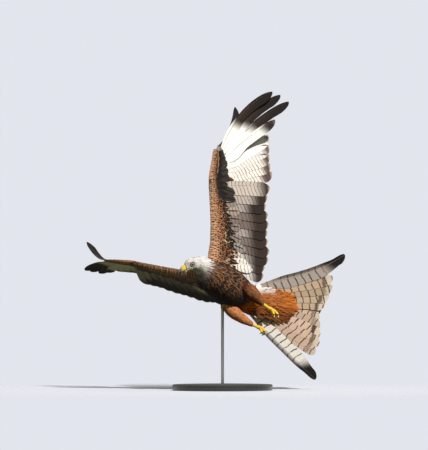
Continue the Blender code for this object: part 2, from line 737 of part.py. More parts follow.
def tail_coverts():
    """Two tiers of coverts under the tail's root and one over it."""
    back, left, up = tail_frame()
    rows = []
    for face, count, start, tip, height, fan in TAIL_COVERTS:
        for k in range(count):
            share = 2.0 * k / (count - 1) - 1.0
            aside = TAIL_COVERT_SPAN * share
            low = height[0] * (1.0 - TAIL_COVERT_FLATTER * share**2)
            root = TAIL_AT + start * back + aside * left + face * low * up
            spread = aside + (tip - start) * math.tan(math.radians(fan * share))
            end = (TAIL_AT + (tip - TAIL_COVERT_SHORTER * abs(share)) * back + spread * left
                   + face * (height[1] + TAIL_COVERT_STAGGER * (k % 2)) * up)
            rows.append({
                "root": root, "along": end - root, "normal": up, "stations": COVERT_STATIONS,
                "length": float(np.linalg.norm(end - root)), "lead": TAIL_COVERT_WEB,
                "trail": TAIL_COVERT_WEB, "thick": COVERT_THICK, "tip": COVERT_TIP,
            })
    return rows


def build_tail(parts, pieces, torso_cutter):
    """The tail: its flesh from the torso's end, and its feathers."""
    back, left, up = tail_frame()
    rings = [oval((TORSO[0][0] - GAP, 0, 0), (0, 1, 0), (0, 0, 1), *TORSO[0][1:], BODY_SIDES)]
    for place, half_width, above, below in TAIL_CORE:
        rings.append(oval(TAIL_AT + back * place, left, up, half_width, above, below, BODY_SIDES))
    tail = loft("tail", rings, "tail", parts)
    for row in tail_feathers() + tail_coverts():
        vane(row, 1.0, "tail", pieces)
    fuse(tail, pieces)
    boolean(tail, "DIFFERENCE", other=torso_cutter)
    keep_largest(tail)


def bezier(points, steps):
    """Points along the curve that these control points draw."""
    points = np.asarray(points, float)
    share = np.linspace(0.0, 1.0, steps)[:, None, None]
    rows = np.broadcast_to(points, (steps, *points.shape)).copy()
    while rows.shape[1] > 1:
        rows = rows[:, :-1] * (1.0 - share) + rows[:, 1:] * share
    return rows[:, 0]


def build_toe(spread, length, drop, shank, ahead, side, sole, pieces):
    """One toe from the shank's end, curled down at its tip, with its claw."""
    out = unit(ahead + side * spread)
    knuckle = shank + out * length * TOE_KNUCKLE[0] + sole * drop * TOE_KNUCKLE[1]
    tip = shank + out * length - sole * drop
    bones = bezier((shank - ahead * TOE_ROOT, knuckle, tip), TOE_STEPS)
    tube("toe", bones, np.linspace(*TOE_RADII, TOE_STEPS), TOE_SIDES, "yellow", pieces)
    bent = unit(bones[-1] - bones[-2])
    down = unit(bent * (bent @ sole) - sole)
    hook = bezier([tip + bent * on + down * fall for on, fall in CLAW], CLAW_STEPS)
    tube("claw", hook, np.linspace(*CLAW_RADII, CLAW_STEPS), CLAW_SIDES, "horn", pieces)


def build_leg(name, parts, pieces, torso_cutter):
    """A feathered thigh, cut clear of the belly, and the bare foot that trails behind it."""
    hip, knee, ankle, toe = (np.array(p) for p in LEGS[name])
    path = bezier((hip, knee, ankle), THIGH_STEPS)
    radii = np.interp(np.linspace(0, 1, THIGH_STEPS), THIGH_PLACES, THIGH_RADII[name])
    thigh = tube("thigh_" + name, path, radii, THIGH_SIDES, "thigh", parts)
    boolean(thigh, "DIFFERENCE", other=torso_cutter)
    keep_largest(thigh)
    along = unit(path[-1] - path[-2])
    start = path[-1] + along * GAP
    reach = toe - start
    shank = start + reach * SHANK
    line = [start, start + along * SHANK_START, start + reach * SHANK_BEND, shank]
    foot = tube("foot_" + name, line, SHANK_RADII, SHANK_SIDES, "yellow", parts)
    ahead = unit(reach)
    side = unit(np.cross(ahead, SOLE_HINT))
    sole = np.cross(side, ahead)
    for row in TOES[name]:
        build_toe(*row, shank, ahead, side, sole, pieces)
    fuse(foot, pieces)


def hoop(name, rings, look, collection):
    """A closed hoop over rings of points."""
    count = len(rings[0])
    faces = []
    for row in range(len(rings)):
        after = (row + 1) % len(rings) * count
        for k in range(count):
            beside = (k + 1) % count
            faces.append((row * count + k, row * count + beside, after + beside, after + k))
    return solid(name, np.concatenate(rings), faces, look, collection)


def build_lids(side, pieces):
    """The hoop of the two lids round one eye."""
    _, left, _ = head_frame()
    rim = []
    for angle in np.arange(EYE_SIDES) * 2.0 * math.pi / EYE_SIDES:
        centre = head_point(LID_RADIUS * math.cos(angle), side * LID_SIDE,
                            LID_RADIUS * math.sin(angle))
        outward = unit(centre - head_point(0, side * LID_SIDE, 0))
        rim.append(oval(centre, outward, left * side, LID_THICKNESS, LID_THICKNESS, LID_DEPTH, 6))
    hoop("lid", rim, "pale", pieces)


def cut_mouth(head, cutters):
    """A thin slit round the front of the head that ends at a whole core."""
    _, left, up = head_frame()
    mouth = loft("mouth", [
        np.array([head_point(x, y, MOUTH_Z - z) for y, z in
                  ((-MOUTH_SIDE, 0.0), (MOUTH_SIDE, 0.0), (MOUTH_SIDE, slit), (-MOUTH_SIDE, slit))])
        for x, slit in MOUTH], "pale", cutters)
    core = loft("mouth_core", [
        oval(head_point(x, 0, MOUTH_CORE_Z), left, up, half_width, MOUTH_CORE_HALF, MOUTH_CORE_HALF,
             16) for x, half_width in MOUTH_CORE], "pale", cutters)
    boolean(mouth, "DIFFERENCE", other=core)
    boolean(head, "DIFFERENCE", other=mouth)


def build_head(parts, pieces, cutters):
    """Neck, skull with sockets, lids and mouth line, and the two eyes."""
    forward, left, up = head_frame()
    loft("neck", neck_rings(NECK, NECK_STEPS), "pale", parts)
    face = [oval(HEAD_AT + forward * x, left, up, w, a, b, BODY_SIDES) for x, w, a, b in FACE]
    head = loft("head", neck_rings(SKULL, SKULL_STEPS) + face, "pale", parts)
    for side in (1.0, -1.0):
        build_lids(side, pieces)
    fuse(head, pieces)
    for word, side in (("left", 1.0), ("right", -1.0)):
        centre = Vector(head_point(0.0, side * EYE_SIDE, 0.0))
        room = ball("eye_room_" + word, centre, EYE_RADIUS + CUT_CLEAR, "pale", cutters, EYE_SIDES)
        boolean(head, "DIFFERENCE", other=room)
        ball("eye_" + word, centre, EYE_RADIUS, "eye", parts, EYE_SIDES)
    cut_mouth(head, cutters)
    keep_largest(head)


def build_bill(parts, cutters):
    """The cere with its nostrils, and the two halves of the bill."""
    _, left, _ = head_frame()
    rings = bill_rings(BILL)
    cere = loft("cere", rings[:CERE_SECTIONS], "yellow", parts)
    nostril = ball("nostril", Vector(head_point(*NOSTRIL_AT)), NOSTRIL_RADIUS, "horn", cutters, 8)
    nostril.data.transform(Matrix.Scale(NOSTRIL_STRETCH, 4, Vector(left)))
    boolean(cere, "DIFFERENCE", other=nostril)
    keep_largest(cere)
    ahead = GAP * unit(rings[CERE_SECTIONS].mean(axis=0) - rings[CERE_SECTIONS - 1].mean(axis=0))
    first = rings[CERE_SECTIONS - 1] + ahead
    loft("bill_upper", [first] + rings[CERE_SECTIONS:], "horn", parts)
    loft("bill_lower", bill_rings(LOWER_BILL), "horn", parts)


def cylinder(name, radius, low, high, look, collection, segments):
    """An upright cylinder on the world's Z."""
    mesh = bpy.data.meshes.new(name)
    shape = bmesh.new()
    bmesh.ops.create_cone(shape, cap_ends=True, segments=segments, radius1=radius,
                          radius2=radius, depth=high - low)
    shape.to_mesh(mesh)
    shape.free()
    made = add(name, mesh, look, collection)
    made.location = (0.0, 0.0, (low + high) / 2.0)
    bpy.context.view_layer.update()
    return made


def build_stand(parts):
    """The round base with its eased edge, and the rod that stands in it."""
    base = cylinder("stand_base", BASE_RADIUS, 0.0, BASE_HEIGHT, "lacquer", parts, 56)
    ease = base.modifiers.new("Ease", "BEVEL")
    ease.width = BASE_EDGE
    ease.segments = 1
    cylinder("stand_rod", ROD_RADIUS, BASE_HEIGHT + GAP, ROD_TOP, "steel", parts, 16)


def main():
    for item in list(bpy.data.objects):
        bpy.data.objects.remove(item)
    parts = new_collection("red_kite")
    cutters = new_collection("cutters", hidden=True)
    joined = new_collection("joined", hidden=True)
    pose = (Matrix.Translation(BODY_AT) @ Matrix.Rotation(HEADING, 4, "Z")
            @ Matrix.Rotation(-PITCH, 4, "Y") @ Matrix.Rotation(BANK, 4, "X"))
    torso = loft("torso", torso_rings(), "plumage", parts)
    socket = cylinder("socket", ROD_RADIUS + GAP, BASE_HEIGHT, ROD_TOP + GAP, "steel", cutters, 16)
    socket.matrix_world = pose.inverted() @ socket.matrix_world
    boolean(torso, "DIFFERENCE", other=socket)
    torso_cutter = loft("torso_cutter", torso_rings(CUT_CLEAR), "plumage", cutters)
    neck_cutter = loft("neck_cutter", neck_rings(NECK, NECK_STEPS, CUT_CLEAR), "pale", cutters)
    build_head(parts, joined, cutters)
    build_bill(parts, cutters)
    build_tail(parts, joined, torso_cutter)
    for name in ("left", "right"):
        build_leg(name, parts, joined, torso_cutter)
        build_wing(name, parts, joined, [torso_cutter, neck_cutter])

    bird = bpy.data.objects.new("bird", None)
    bpy.context.scene.collection.objects.link(bird)
    bird.matrix_world = pose
    for piece in parts.objects:
        piece.parent = bird
    build_stand(parts)
    for piece in parts.objects:
        piece.data.set_sharp_from_angle(angle=CRISP)


if __name__ == "__main__":
    main()
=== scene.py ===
"""Looks for the flying red kite on its stand: skin, plumage, bill, eyes, feet and finishes."""

import math

import bpy
import numpy as np
from mathutils import Matrix, Quaternion, Vector


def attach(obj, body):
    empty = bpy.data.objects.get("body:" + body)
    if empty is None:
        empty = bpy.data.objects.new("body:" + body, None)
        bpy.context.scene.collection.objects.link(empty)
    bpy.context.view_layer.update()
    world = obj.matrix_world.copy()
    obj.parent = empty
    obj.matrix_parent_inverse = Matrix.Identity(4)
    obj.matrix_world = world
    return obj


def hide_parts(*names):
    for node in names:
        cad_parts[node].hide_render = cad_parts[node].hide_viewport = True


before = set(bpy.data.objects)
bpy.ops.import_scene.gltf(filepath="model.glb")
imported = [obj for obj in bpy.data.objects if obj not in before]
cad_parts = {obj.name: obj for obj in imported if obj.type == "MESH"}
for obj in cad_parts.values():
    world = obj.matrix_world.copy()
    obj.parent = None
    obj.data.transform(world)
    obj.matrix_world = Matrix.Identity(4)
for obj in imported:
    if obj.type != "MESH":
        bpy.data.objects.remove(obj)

bl_info = {
    "name": "Red Kite Model",
    "version": (1, 0, 0),
    "blender": (4, 5, 0),
    "location": "View3D > Sidebar > Red Kite",
    "description": "Dresses the flying red kite with its plumage and finishes",
    "category": "Object",
}

MM = 0.001

# The solids' own pose and sizes, as the packed part has them.
BODY_AT = Vector((0.012, -0.035, 0.357))
PLACED = np.array(Matrix.Translation(BODY_AT) @ Matrix.Rotation(math.radians(220.1), 4, "Z")
                  @ Matrix.Rotation(math.radians(-27.4), 4, "Y")
                  @ Matrix.Rotation(math.radians(49.9), 4, "X"))
TORSO = (
    (-0.100, 0.046, 0.036, 0.042), (-0.075, 0.053, 0.043, 0.053), (-0.035, 0.061, 0.050, 0.064),
    (0.010, 0.065, 0.053, 0.069), (0.050, 0.060, 0.050, 0.065), (0.078, 0.053, 0.044, 0.057),
    (0.095, 0.047, 0.040, 0.050),
)
HEAD_AT = np.array((0.157, -0.013, 0.006))
HEAD_FORWARD = np.array((0.621, -0.780, -0.078))
HEAD_LEFT = np.array((0.523, 0.486, -0.700))
NECK = (
    (0.108, 0.001, 0.003, 0.0420, 0.0375, 0.0440, 0.15),
    (0.120, 0.001, 0.006, 0.0375, 0.0345, 0.0380, 0.33),
    (0.131, 0.000, 0.008, 0.0335, 0.0310, 0.0320, 0.52),
    (0.141, -0.003, 0.008, 0.0295, 0.0280, 0.0275, 0.70),
    (0.150, -0.008, 0.007, 0.0262, 0.0265, 0.0240, 0.87),
    (0.157, -0.013, 0.006, 0.0222, 0.0255, 0.0215, 1.00),
)
FACE = ((0.008, 0.0208, 0.0235, 0.0205), (0.015, 0.0170, 0.0195, 0.0200),
        (0.0225, 0.0122, 0.0125, 0.0200))
EYE_SIDE = 0.0172
LID_SIDE = 0.0212
BILL = (
    (0.0228, 0.0095, 0.0228, -0.0125, 0.0112), (0.0300, 0.0088, 0.0280, -0.0128, 0.0100),
    (0.0370, 0.0045, 0.0330, -0.0132, 0.0084), (0.0422, -0.0030, 0.0370, -0.0138, 0.0066),
    (0.0455, -0.0120, 0.0405, -0.0158, 0.0046), (0.0467, -0.0190, 0.0437, -0.0205, 0.0026),
    (0.0462, -0.0250, 0.0452, -0.0250, 0.0006),
)
LOWER_BILL = (
    (0.0228, -0.0129, 0.0228, -0.0192, 0.0098), (0.0300, -0.0133, 0.0300, -0.0184, 0.0080),
    (0.0345, -0.0141, 0.0342, -0.0172, 0.0058), (0.0370, -0.0150, 0.0368, -0.0160, 0.0030),
)
CERE_END = 0.0290
NOSTRIL = (0.0278, 0.0015)
SHOULDER = np.array((0.075, 0.035, 0.030))
HAND = 0.105
POSE = {
    "left": {
        "reach": 0.285, "arm": (33.2, 48.6), "twist": (-1.0, -2.3), "hand": (-4.4, 59.6, 0.4),
        "fan": (53.8, 16.9), "bend": 0.078, "tip_bend": 0.031, "bow": 1.0, "side": 1.0,
    },
    "right": {
        "reach": 0.250, "arm": (45.2, 34.0), "twist": (3.7, 11.9), "hand": (6.6, 50.5, 19.0),
        "fan": (52.8, 23.8), "bend": 0.025, "tip_bend": 0.069, "bow": 0.5, "side": -1.0,
    },
}
PRIMARY_LENGTH = (0.306, 0.304, 0.308, 0.320, 0.334, 0.318, 0.425, 0.396, 0.361, 0.276)
PRIMARY_BOW = (0.005, 0.005, 0.005, 0.005, 0.01, 0.01, 0.035, 0.05, 0.07, -0.02)
PRIMARY_TURN = (0.0, 0.0, 0.0, 0.0, 0.0, -2.5, 0.7, 0.0, 0.0, -2.0)
PRIMARIES = 10
FINGERS = 5
SECONDARIES = 11
SECONDARY_PLACES = (0.06, 0.25, 0.50, 0.75, 0.97)
SECONDARY_LENGTH = (0.192, 0.210, 0.205, 0.214, 0.239)
WING_CORE = (
    (-0.12, 0.036, 0.142, 0.030), (0.06, 0.033, 0.138, 0.026), (0.25, 0.017, 0.110, 0.021),
    (0.50, 0.009, 0.090, 0.018), (0.75, 0.007, 0.074, 0.015), (0.93, 0.006, 0.058, 0.013),
)
HAND_CORE = ((0.10, 0.006, 0.046, 0.012), (0.45, 0.006, 0.036, 0.010), (0.85, 0.005, 0.027, 0.0075),
             (1.10, 0.004, 0.018, 0.005))
TAIL_AT = np.array((-0.100, 0.0, 0.0))
TAIL_BACK = np.array((-0.925, 0.375, -0.054))
TAIL_LEFT = np.array((0.306, 0.821, 0.482))
TAIL_SPREAD = (2.1, 6.2, 10.2, 14.6, 19.4, 29.8)
TAIL_LENGTH = (0.272, 0.281, 0.291, 0.300, 0.300, 0.354)
TAIL_BOW = (0.0, -0.003, -0.006, -0.010, -0.020, -0.055)
TAIL_SIDES = {1.0: (1.6 * MM, -1.0 * MM, 1.0), -1.0: (0.3 * MM, -2.2 * MM, 0.0)}
TAIL_WEBS = ((0.021, 0.021), (0.014, 0.027), (0.014, 0.033))
TAIL_CORE = ((0.030, 0.047, 0.027, 0.036), (0.060, 0.042, 0.018, 0.027), (0.090, 0.033, 0.011, 0.018),
             (0.120, 0.022, 0.006, 0.011), (0.150, 0.012, 0.003, 0.005))
LEGS = {
    "left": ((-0.020, 0.040, -0.030), (-0.068, 0.046, -0.050), (-0.110, 0.042, -0.069),
             (-0.166, 0.051, -0.103)),
    "right": ((-0.016, -0.044, -0.034), (-0.070, -0.050, -0.064), (-0.130, -0.034, -0.089),
              (-0.171, -0.021, -0.106)),
}

TOES = {
    "left": ((-0.26, 0.036, 0.012), (0.0, 0.044, 0.013), (0.26, 0.037, 0.012), (0.15, 0.024, 0.018)),
    "right": ((-0.24, 0.027, 0.015), (0.02, 0.030, 0.017), (0.28, 0.027, 0.015), (0.1, 0.018, 0.020)),
}

# Where the photographer's lens is, and how tall the picture is at the bird.
CAMERA_X = -0.0288
CAMERA_HEIGHT = 0.5595
CAMERA_DISTANCE_PER_MM = 0.04225
SENSOR = 36.0


def colour(name, value, description):
    """A colour of the panel, in linear red, green and blue."""
    return bpy.props.FloatVectorProperty(name=name, description=description, subtype="COLOR", size=3,
                                         min=0.0, max=1.0, default=value)


def length(name, value, description):
    """A length of the panel, in metres."""
    return bpy.props.FloatProperty(name=name, description=description, subtype="DISTANCE",
                                   unit="LENGTH", min=0.0, precision=5, default=value)


class KitePlumage(bpy.types.PropertyGroup):
    """Colours of the feathers."""

    head: colour("Head", (0.78, 0.72, 0.66), "Whitish grey of the head")
    head_streak: colour("Head streak", (0.085, 0.075, 0.072), "Shaft streaks on the head")
    rufous: colour("Rufous", (0.40, 0.175, 0.075), "Edges of the breast and wing coverts")
    # Partly painted shade: the belly's deep rufous is darkened further so that the shaded underside comes
    # out near black. The thighs and undertail coverts also darken towards it as their painted shade.
    belly: colour("Belly", (0.052, 0.016, 0.006), "Deep rufous of the belly")
    vent: colour("Vent", (0.58, 0.160, 0.022), "Bright rufous of the thighs and the tail's root")
    buff: colour("Buff", (0.58, 0.40, 0.24), "Pale band on the upper wing")
    black: colour("Black", (0.010, 0.008, 0.007), "Feather centres, fingers and wrist patch")
    brown: colour("Brown", (0.045, 0.026, 0.018), "Back and upper quills")
    white: colour("White", (0.82, 0.765, 0.70), "Window under the hand and scattered coverts")
    grey: colour("Grey", (0.150, 0.105, 0.085), "Under side of the arm's quills")
    cream: colour("Cream", (0.60, 0.43, 0.28), "Under side of the tail")


class KiteBareParts(bpy.types.PropertyGroup):
    """Colours of the parts without feathers and of the stand."""

    cere: colour("Cere", (0.90, 0.60, 0.040), "Yellow skin at the bill's root and gape")
    cere_shade: colour("Cere shade", (0.62, 0.30, 0.020), "The cere's creases")
    foot: colour("Foot", (0.90, 0.58, 0.030), "Yellow skin of shank and toes")
    foot_shade: colour("Foot shade", (0.45, 0.21, 0.012), "Creases between the scales")
    rim: colour("Eye rim", (0.035, 0.030, 0.028), "Bare rim round the eye")
    iris: colour("Iris", (0.74, 0.70, 0.54), "Outer part of the iris")
    horn: colour("Horn", (0.34, 0.31, 0.25), "Root of the bill")
    horn_tip: colour("Horn tip", (0.020, 0.020, 0.022), "Hook of the bill and the claws")
    lacquer: colour("Lacquer", (0.012, 0.012, 0.013), "Black lacquer of the base")
    steel: colour("Steel", (0.60, 0.60, 0.61), "Brushed steel of the rod")


class KiteSizes(bpy.types.PropertyGroup):
    """Sizes of the plumage and the bare parts."""

    covert_tiers: bpy.props.IntProperty(name="Covert tiers", min=4, max=24, default=13,
                                        description="Rows of small feathers on each face of a wing")
    covert_web: length("Covert width", 0.0240, "Width of the rearmost small wing coverts")
    covert_length: length("Covert length", 0.0400, "Length of the rearmost small wing coverts")
    breast: length("Breast feather", 0.0300, "Length of the breast's feathers")
    hackle: length("Hackle", 0.0130, "Length of the feathers behind the head")
    down: length("Face feather", 0.0035, "Length of the feathers at the bill's root")
    thigh: length("Thigh feather", 0.0220, "Length of the feathers high on the thigh")
    eye: length("Eye radius", 0.0078, "Radius of each eyeball")
    lid: length("Lid radius", 0.0070, "Radius of the opening between the lids")
    toe: length("Toe radius", 0.0054, "Radius of the toes at their roots")
    shank: length("Shank radius", 0.0053, "Radius of the bare shank")


class KiteStage(bpy.types.PropertyGroup):
    """Light, floor and camera."""

    sky: colour("Sky", (0.765, 0.785, 0.845), "Backdrop that the camera sees")
    ground: colour("Floor", (0.60, 0.61, 0.64), "Floor")
    above: colour("Light from above", (1.0, 1.02, 1.08), "Soft light of the upper half")
    below: colour("Light from below", (0.26, 0.29, 0.12), "Soft light of the lower half")
    glow: bpy.props.FloatProperty(name="Soft light", min=0.0, default=0.36,
                                  description="Strength of the soft light")
    sun: bpy.props.FloatProperty(name="Sun", min=0.0, default=4.6,
                                 description="Strength of the main light")
    toward: bpy.props.FloatVectorProperty(name="Sun direction", subtype="DIRECTION", size=3,
                                          default=(0.30, -0.62, 0.72),
                                          description="Way from the bird to the main light")
    lens: bpy.props.FloatProperty(name="Lens", subtype="DISTANCE_CAMERA", min=50.0, default=600.0,
                                  description="Focal length of the camera in millimetres")
    reach: length("Floor radius", 1.6, "Radius of the floor, which fades out before its edge")


def hue(name):
    """A plumage colour of the panel."""
    return np.array(getattr(bpy.context.scene.kite_plumage, name))


def bare(name):
    """A bare part's colour of the panel, with its alpha."""
    return (*getattr(bpy.context.scene.kite_bare_parts, name), 1.0)


def size(name):
    """A size of the panel."""
    return getattr(bpy.context.scene.kite_sizes, name)


def unit(vector):
    """The vectors at length one."""
    vector = np.asarray(vector, float)
    return vector / (np.linalg.norm(vector, axis=-1, keepdims=True) + 1e-12)


def smooth(low, high, value):
    """A soft step from 0 at low to 1 at high."""
    share = np.clip((np.asarray(value, float) - low) / (high - low), 0.0, 1.0)
    return share * share * (3.0 - 2.0 * share)


def mix(first, second, share):
    """First at share 0 and second at share 1, for colours with a share per feather or point."""
    first, second = np.asarray(first, float), np.asarray(second, float)
    return first + (second - first) * np.asarray(share, float)[..., None]


def placed(points):
    """Points of the bird's own frame in the scene."""
    return np.asarray(points) @ PLACED[:3, :3].T + PLACED[:3, 3]


def curve_through(rows, count):
    """Evenly many rows along a Catmull-Rom curve through the given rows of numbers."""
    rows = np.asarray(rows, float)
    padded = np.concatenate([[2 * rows[0] - rows[1]], rows, [2 * rows[-1] - rows[-2]]])
    place = np.linspace(0.0, len(rows) - 1.0, count)
    cell = np.minimum(place.astype(int), len(rows) - 2)
    f = (place - cell)[:, None]
    a, b, c, d = (padded[cell + k] for k in range(4))
    return 0.5 * (2 * b + (c - a) * f + (2 * a - 5 * b + 4 * c - d) * f**2
                  + (3 * b - a - 3 * c + d) * f**3)


def head_frame():
    """The head's forward, left and up axes."""
    forward = unit(HEAD_FORWARD)
    left = unit(HEAD_LEFT - forward * (HEAD_LEFT @ forward))
    return forward, left, np.cross(forward, left)


def head_point(x, y, z):
    """Points of the head's frame in the bird's frame."""
    forward, left, up = head_frame()
    x, y, z = (np.asarray(v, float)[..., None] for v in (x, y, z))
    return HEAD_AT + forward * x + left * y + up * z


def turned(share):
    """The left and up axes of a neck section that has taken up this share of the head's turn."""
    axes = Matrix([Vector(v) for v in head_frame()]).transposed()
    turn = Quaternion().slerp(axes.to_quaternion(), share).to_matrix()
    return np.array(turn.col[1]), np.array(turn.col[2])


def tail_frame():
    """The tail's backward, left and up axes."""
    back = unit(TAIL_BACK)
    left = unit(TAIL_LEFT - back * (TAIL_LEFT @ back))
    return back, left, np.cross(left, back)


def direction(sweep, rise):
    """A wing bone's direction: swept forward of straight out, and raised."""
    sweep, rise = math.radians(sweep), math.radians(rise)
    return np.array((math.sin(sweep) * math.cos(rise), math.cos(sweep) * math.cos(rise),
                     math.sin(rise)))


def wing_axes(sweep, rise, twist):
    """A bone's direction, the chord direction behind it and the normal out of its back."""
    out = direction(sweep, rise)
    back = unit(np.array((-1.0, 0, 0)) + out[0] * out)
    dorsal = np.cross(out, back)
    twist = math.radians(twist)
    chord = math.cos(twist) * back + math.sin(twist) * dorsal
    return out, chord, np.cross(out, chord)


def arm_axes(pose, share):
    """The arm's axes at a share of the way from the shoulder to the wrist."""
    root, tip = pose["twist"]
    return wing_axes(*pose["arm"], root + (tip - root) * share)


def wrist_of(pose):
    """Where the arm ends and the hand starts."""
    return SHOULDER + pose["reach"] * direction(*pose["arm"])


def put_mesh(name, points, triangles, material, smooth_faces=True):
    """A mesh object from arrays of points and triangles, in the scene's own frame."""
    mesh = bpy.data.meshes.new(name)
    mesh.vertices.add(len(points))
    mesh.vertices.foreach_set("co", np.asarray(points, np.float32).ravel())
    mesh.loops.add(triangles.size)
    mesh.loops.foreach_set("vertex_index", triangles.astype(np.int32).ravel())
    mesh.polygons.add(len(triangles))
    mesh.polygons.foreach_set("loop_start", np.arange(0, triangles.size, 3, dtype=np.int32))
    mesh.update(calc_edges=True)
    mesh.validate()
    mesh.polygons.foreach_set("use_smooth", np.full(len(mesh.polygons), smooth_faces))
    mesh.materials.append(material)
    piece = bpy.data.objects.new(name, mesh)
    bpy.context.scene.collection.objects.link(piece)
    return piece


def set_map(piece, name, values):
    """Writes a UV map, one pair a face corner."""
    layer = piece.data.uv_layers.new(name=name)
    layer.uv.foreach_set("vector", np.asarray(values, np.float32).ravel())


def set_colour(piece, name, values, domain="CORNER"):
    """Writes a colour attribute with its alpha, one a face corner or point."""
    values = np.asarray(values, np.float32)
    if values.shape[-1] == 3:
        values = np.concatenate([values, np.ones((*values.shape[:-1], 1), np.float32)], -1)
    layer = piece.data.color_attributes.new(name=name, type="FLOAT_COLOR", domain=domain)
    layer.data.foreach_set("color", values.ravel())


def grid_triangles(rows, columns, closed=True):
    """Triangles of a grid of points, outward where the columns run anticlockwise along it."""
    row, column = np.meshgrid(np.arange(rows - 1), np.arange(columns if closed else columns - 1),
                              indexing="ij")
    a = row * columns + column
    b = row * columns + (column + 1) % columns
    return np.stack([a, b, b + columns, a, b + columns, a + columns], -1).reshape(-1, 3)


def fan(first, count, flip):
    """Triangles that close a ring of points."""
    k = np.arange(1, count - 1)
    ends = (first + k + 1, first + k) if flip else (first + k, first + k + 1)
    return np.stack([np.full(count - 2, first), *ends], -1)


def closed_loft(rings):
    """Points and triangles of a tube through rings of points, shut at both ends."""
    rows, columns = rings.shape[:2]
    triangles = np.concatenate([grid_triangles(rows, columns), fan(0, columns, True),
                                fan((rows - 1) * columns, columns, False)])
    points = rings.reshape(-1, 3)
    a, b, c = (points[triangles[:, k]] for k in range(3))
    if np.einsum("ij,ij->", a - points.mean(0), np.cross(b - a, c - a)) < 0.0:
        triangles = triangles[:, ::-1]
    return points, triangles


def joined(shapes):
    """Several shapes' points and triangles as one."""
    points, triangles, count = [], [], 0
    for more, faces in shapes:
        points.append(more)
        triangles.append(faces + count)
        count += len(more)
    return np.concatenate(points), np.concatenate(triangles)


def round_rings(path, radii, sides, hint=(0.1, 0.3, 1.0)):
    """Rings round a path: a circle of the given radius, square to the path, at each point."""
    path = np.asarray(path, float)
    along = unit(np.gradient(path, axis=0))
    side = unit(np.cross(along, np.broadcast_to(hint, path.shape)))
    up = np.cross(along, side)
    angle = np.arange(sides) * 2.0 * math.pi / sides
    radii = np.asarray(radii, float)[:, None, None]
    return (path[:, None] + radii * (side[:, None] * np.cos(angle)[None, :, None]
                                     + up[:, None] * np.sin(angle)[None, :, None]))


def bezier(points, steps):
    """Points along the curve that these control points draw."""
    points = np.asarray(points, float)
    share = np.linspace(0.0, 1.0, steps)[:, None, None]
    rows = np.broadcast_to(points, (steps, *points.shape)).copy()
    while rows.shape[1] > 1:
        rows = rows[:, :-1] * (1.0 - share) + rows[:, 1:] * share
    return rows[:, 0]


def body_table():
    """Sections from the tail's root over the torso and neck to the bill, as a smooth table:
    centre, left axis, up axis, half width, height above and height below."""
    back, left, up = tail_frame()
    rows = [(*(TAIL_AT + back * place), *left, *up, *sizes)
            for place, *sizes in reversed(TAIL_CORE)]
    rows += [(x, 0.0, 0.0, 0.0, 1.0, 0.0, 0.0, 0.0, 1.0, *sizes) for x, *sizes in TORSO]
    for x, y, z, width, above, below, share in NECK:
        rows.append((x, y, z, *turned(share)[0], *turned(share)[1], width, above, below))
    forward, left, up = head_frame()
    rows += [(*(HEAD_AT + forward * x), *left, *up, *sizes) for x, *sizes in FACE]
    return curve_through(rows, 400)


BODY = body_table()
BODY_RUN = np.concatenate([[0.0], np.cumsum(np.linalg.norm(np.diff(BODY[:, :3], axis=0), axis=1))])


def body_point(run, angle, grow=0.0):
    """A point of the body's skin: the section at that run along the body, at that angle round
    it from the left side over the back, with the brows raised and the eyes sunk in the head."""
    run, angle = np.broadcast_arrays(np.asarray(run, float), np.asarray(angle, float))
    row = np.stack([np.interp(run, BODY_RUN, column) for column in BODY.T], -1)
    left, up = unit(row[..., 3:6]), unit(row[..., 6:9])
    wide = row[..., 9] + grow
    tall = np.where(np.sin(angle) > 0.0, row[..., 10], row[..., 11]) + grow
    point = (row[..., :3] + left * (wide * np.cos(angle))[..., None]
             + up * (tall * np.sin(angle))[..., None])
    forward, side, top = head_frame()
    own = np.stack([(point - HEAD_AT) @ axis for axis in (forward, side, top)], -1)
    flank = np.abs(own[..., 1])
    ahead = own[..., 0]
    brow = np.exp(-((ahead - 0.004) / 0.009) ** 2 - ((own[..., 2] - 0.0095) / 0.0035) ** 2)
    hollow = np.exp(-(ahead / 0.008) ** 2 - (own[..., 2] / 0.007) ** 2)
    lore = np.exp(-((ahead - 0.015) / 0.006) ** 2 - ((own[..., 2] - 0.001) / 0.006) ** 2)
    push = (1.5 * brow - 2.2 * hollow - 1.2 * lore) * MM * smooth(0.008, 0.014, flank)
    return point + np.sign(own[..., 1])[..., None] * side * push[..., None]


def body_axes(run, angle):
    """The direction towards the tail and the outward normal of the body's skin."""
    step = 0.4 * MM
    behind = body_point(run - step, angle) - body_point(run + step, angle)
    around = body_point(run, angle + 0.02) - body_point(run, angle - 0.02)
    return unit(behind), unit(np.cross(around, -behind))


def stack(rows):
    """Joins groups of feathers into arrays with one entry a feather."""
    keys = dict(bow=0.0, bend=0.0, power=2.0, tilt=0.0, lift=0.0, rise=0.0, slot=0.0, slot_at=0.4,
                tip=0.12, tip_at=0.85, fill=0.38, quill=0.10, thick=0.5 * MM, camber=0.05,
                rag=0.02, side=1.0, patch=(0.5, 0.5), tint=(0.5, 0.5, 0.5), core=(0.1, 0.1, 0.1), streak=0.0,
                bars=0.0, band=0.0, primary=0.0, place=0.0, turn=0.0)
    groups = []
    for row in rows:
        root = np.atleast_2d(row["root"])
        group = {}
        for key, value in {**keys, **row}.items():
            if key in ("bone", "back"):
                continue
            value = np.asarray(value, float)
            wide = key in ("root", "along", "normal", "patch", "tint", "core")
            shape = (len(root), value.shape[-1]) if wide else (len(root),)
            group[key] = np.broadcast_to(value, shape)
        groups.append(group)
    return {key: np.concatenate([group[key] for group in groups]) for key in groups[0]}


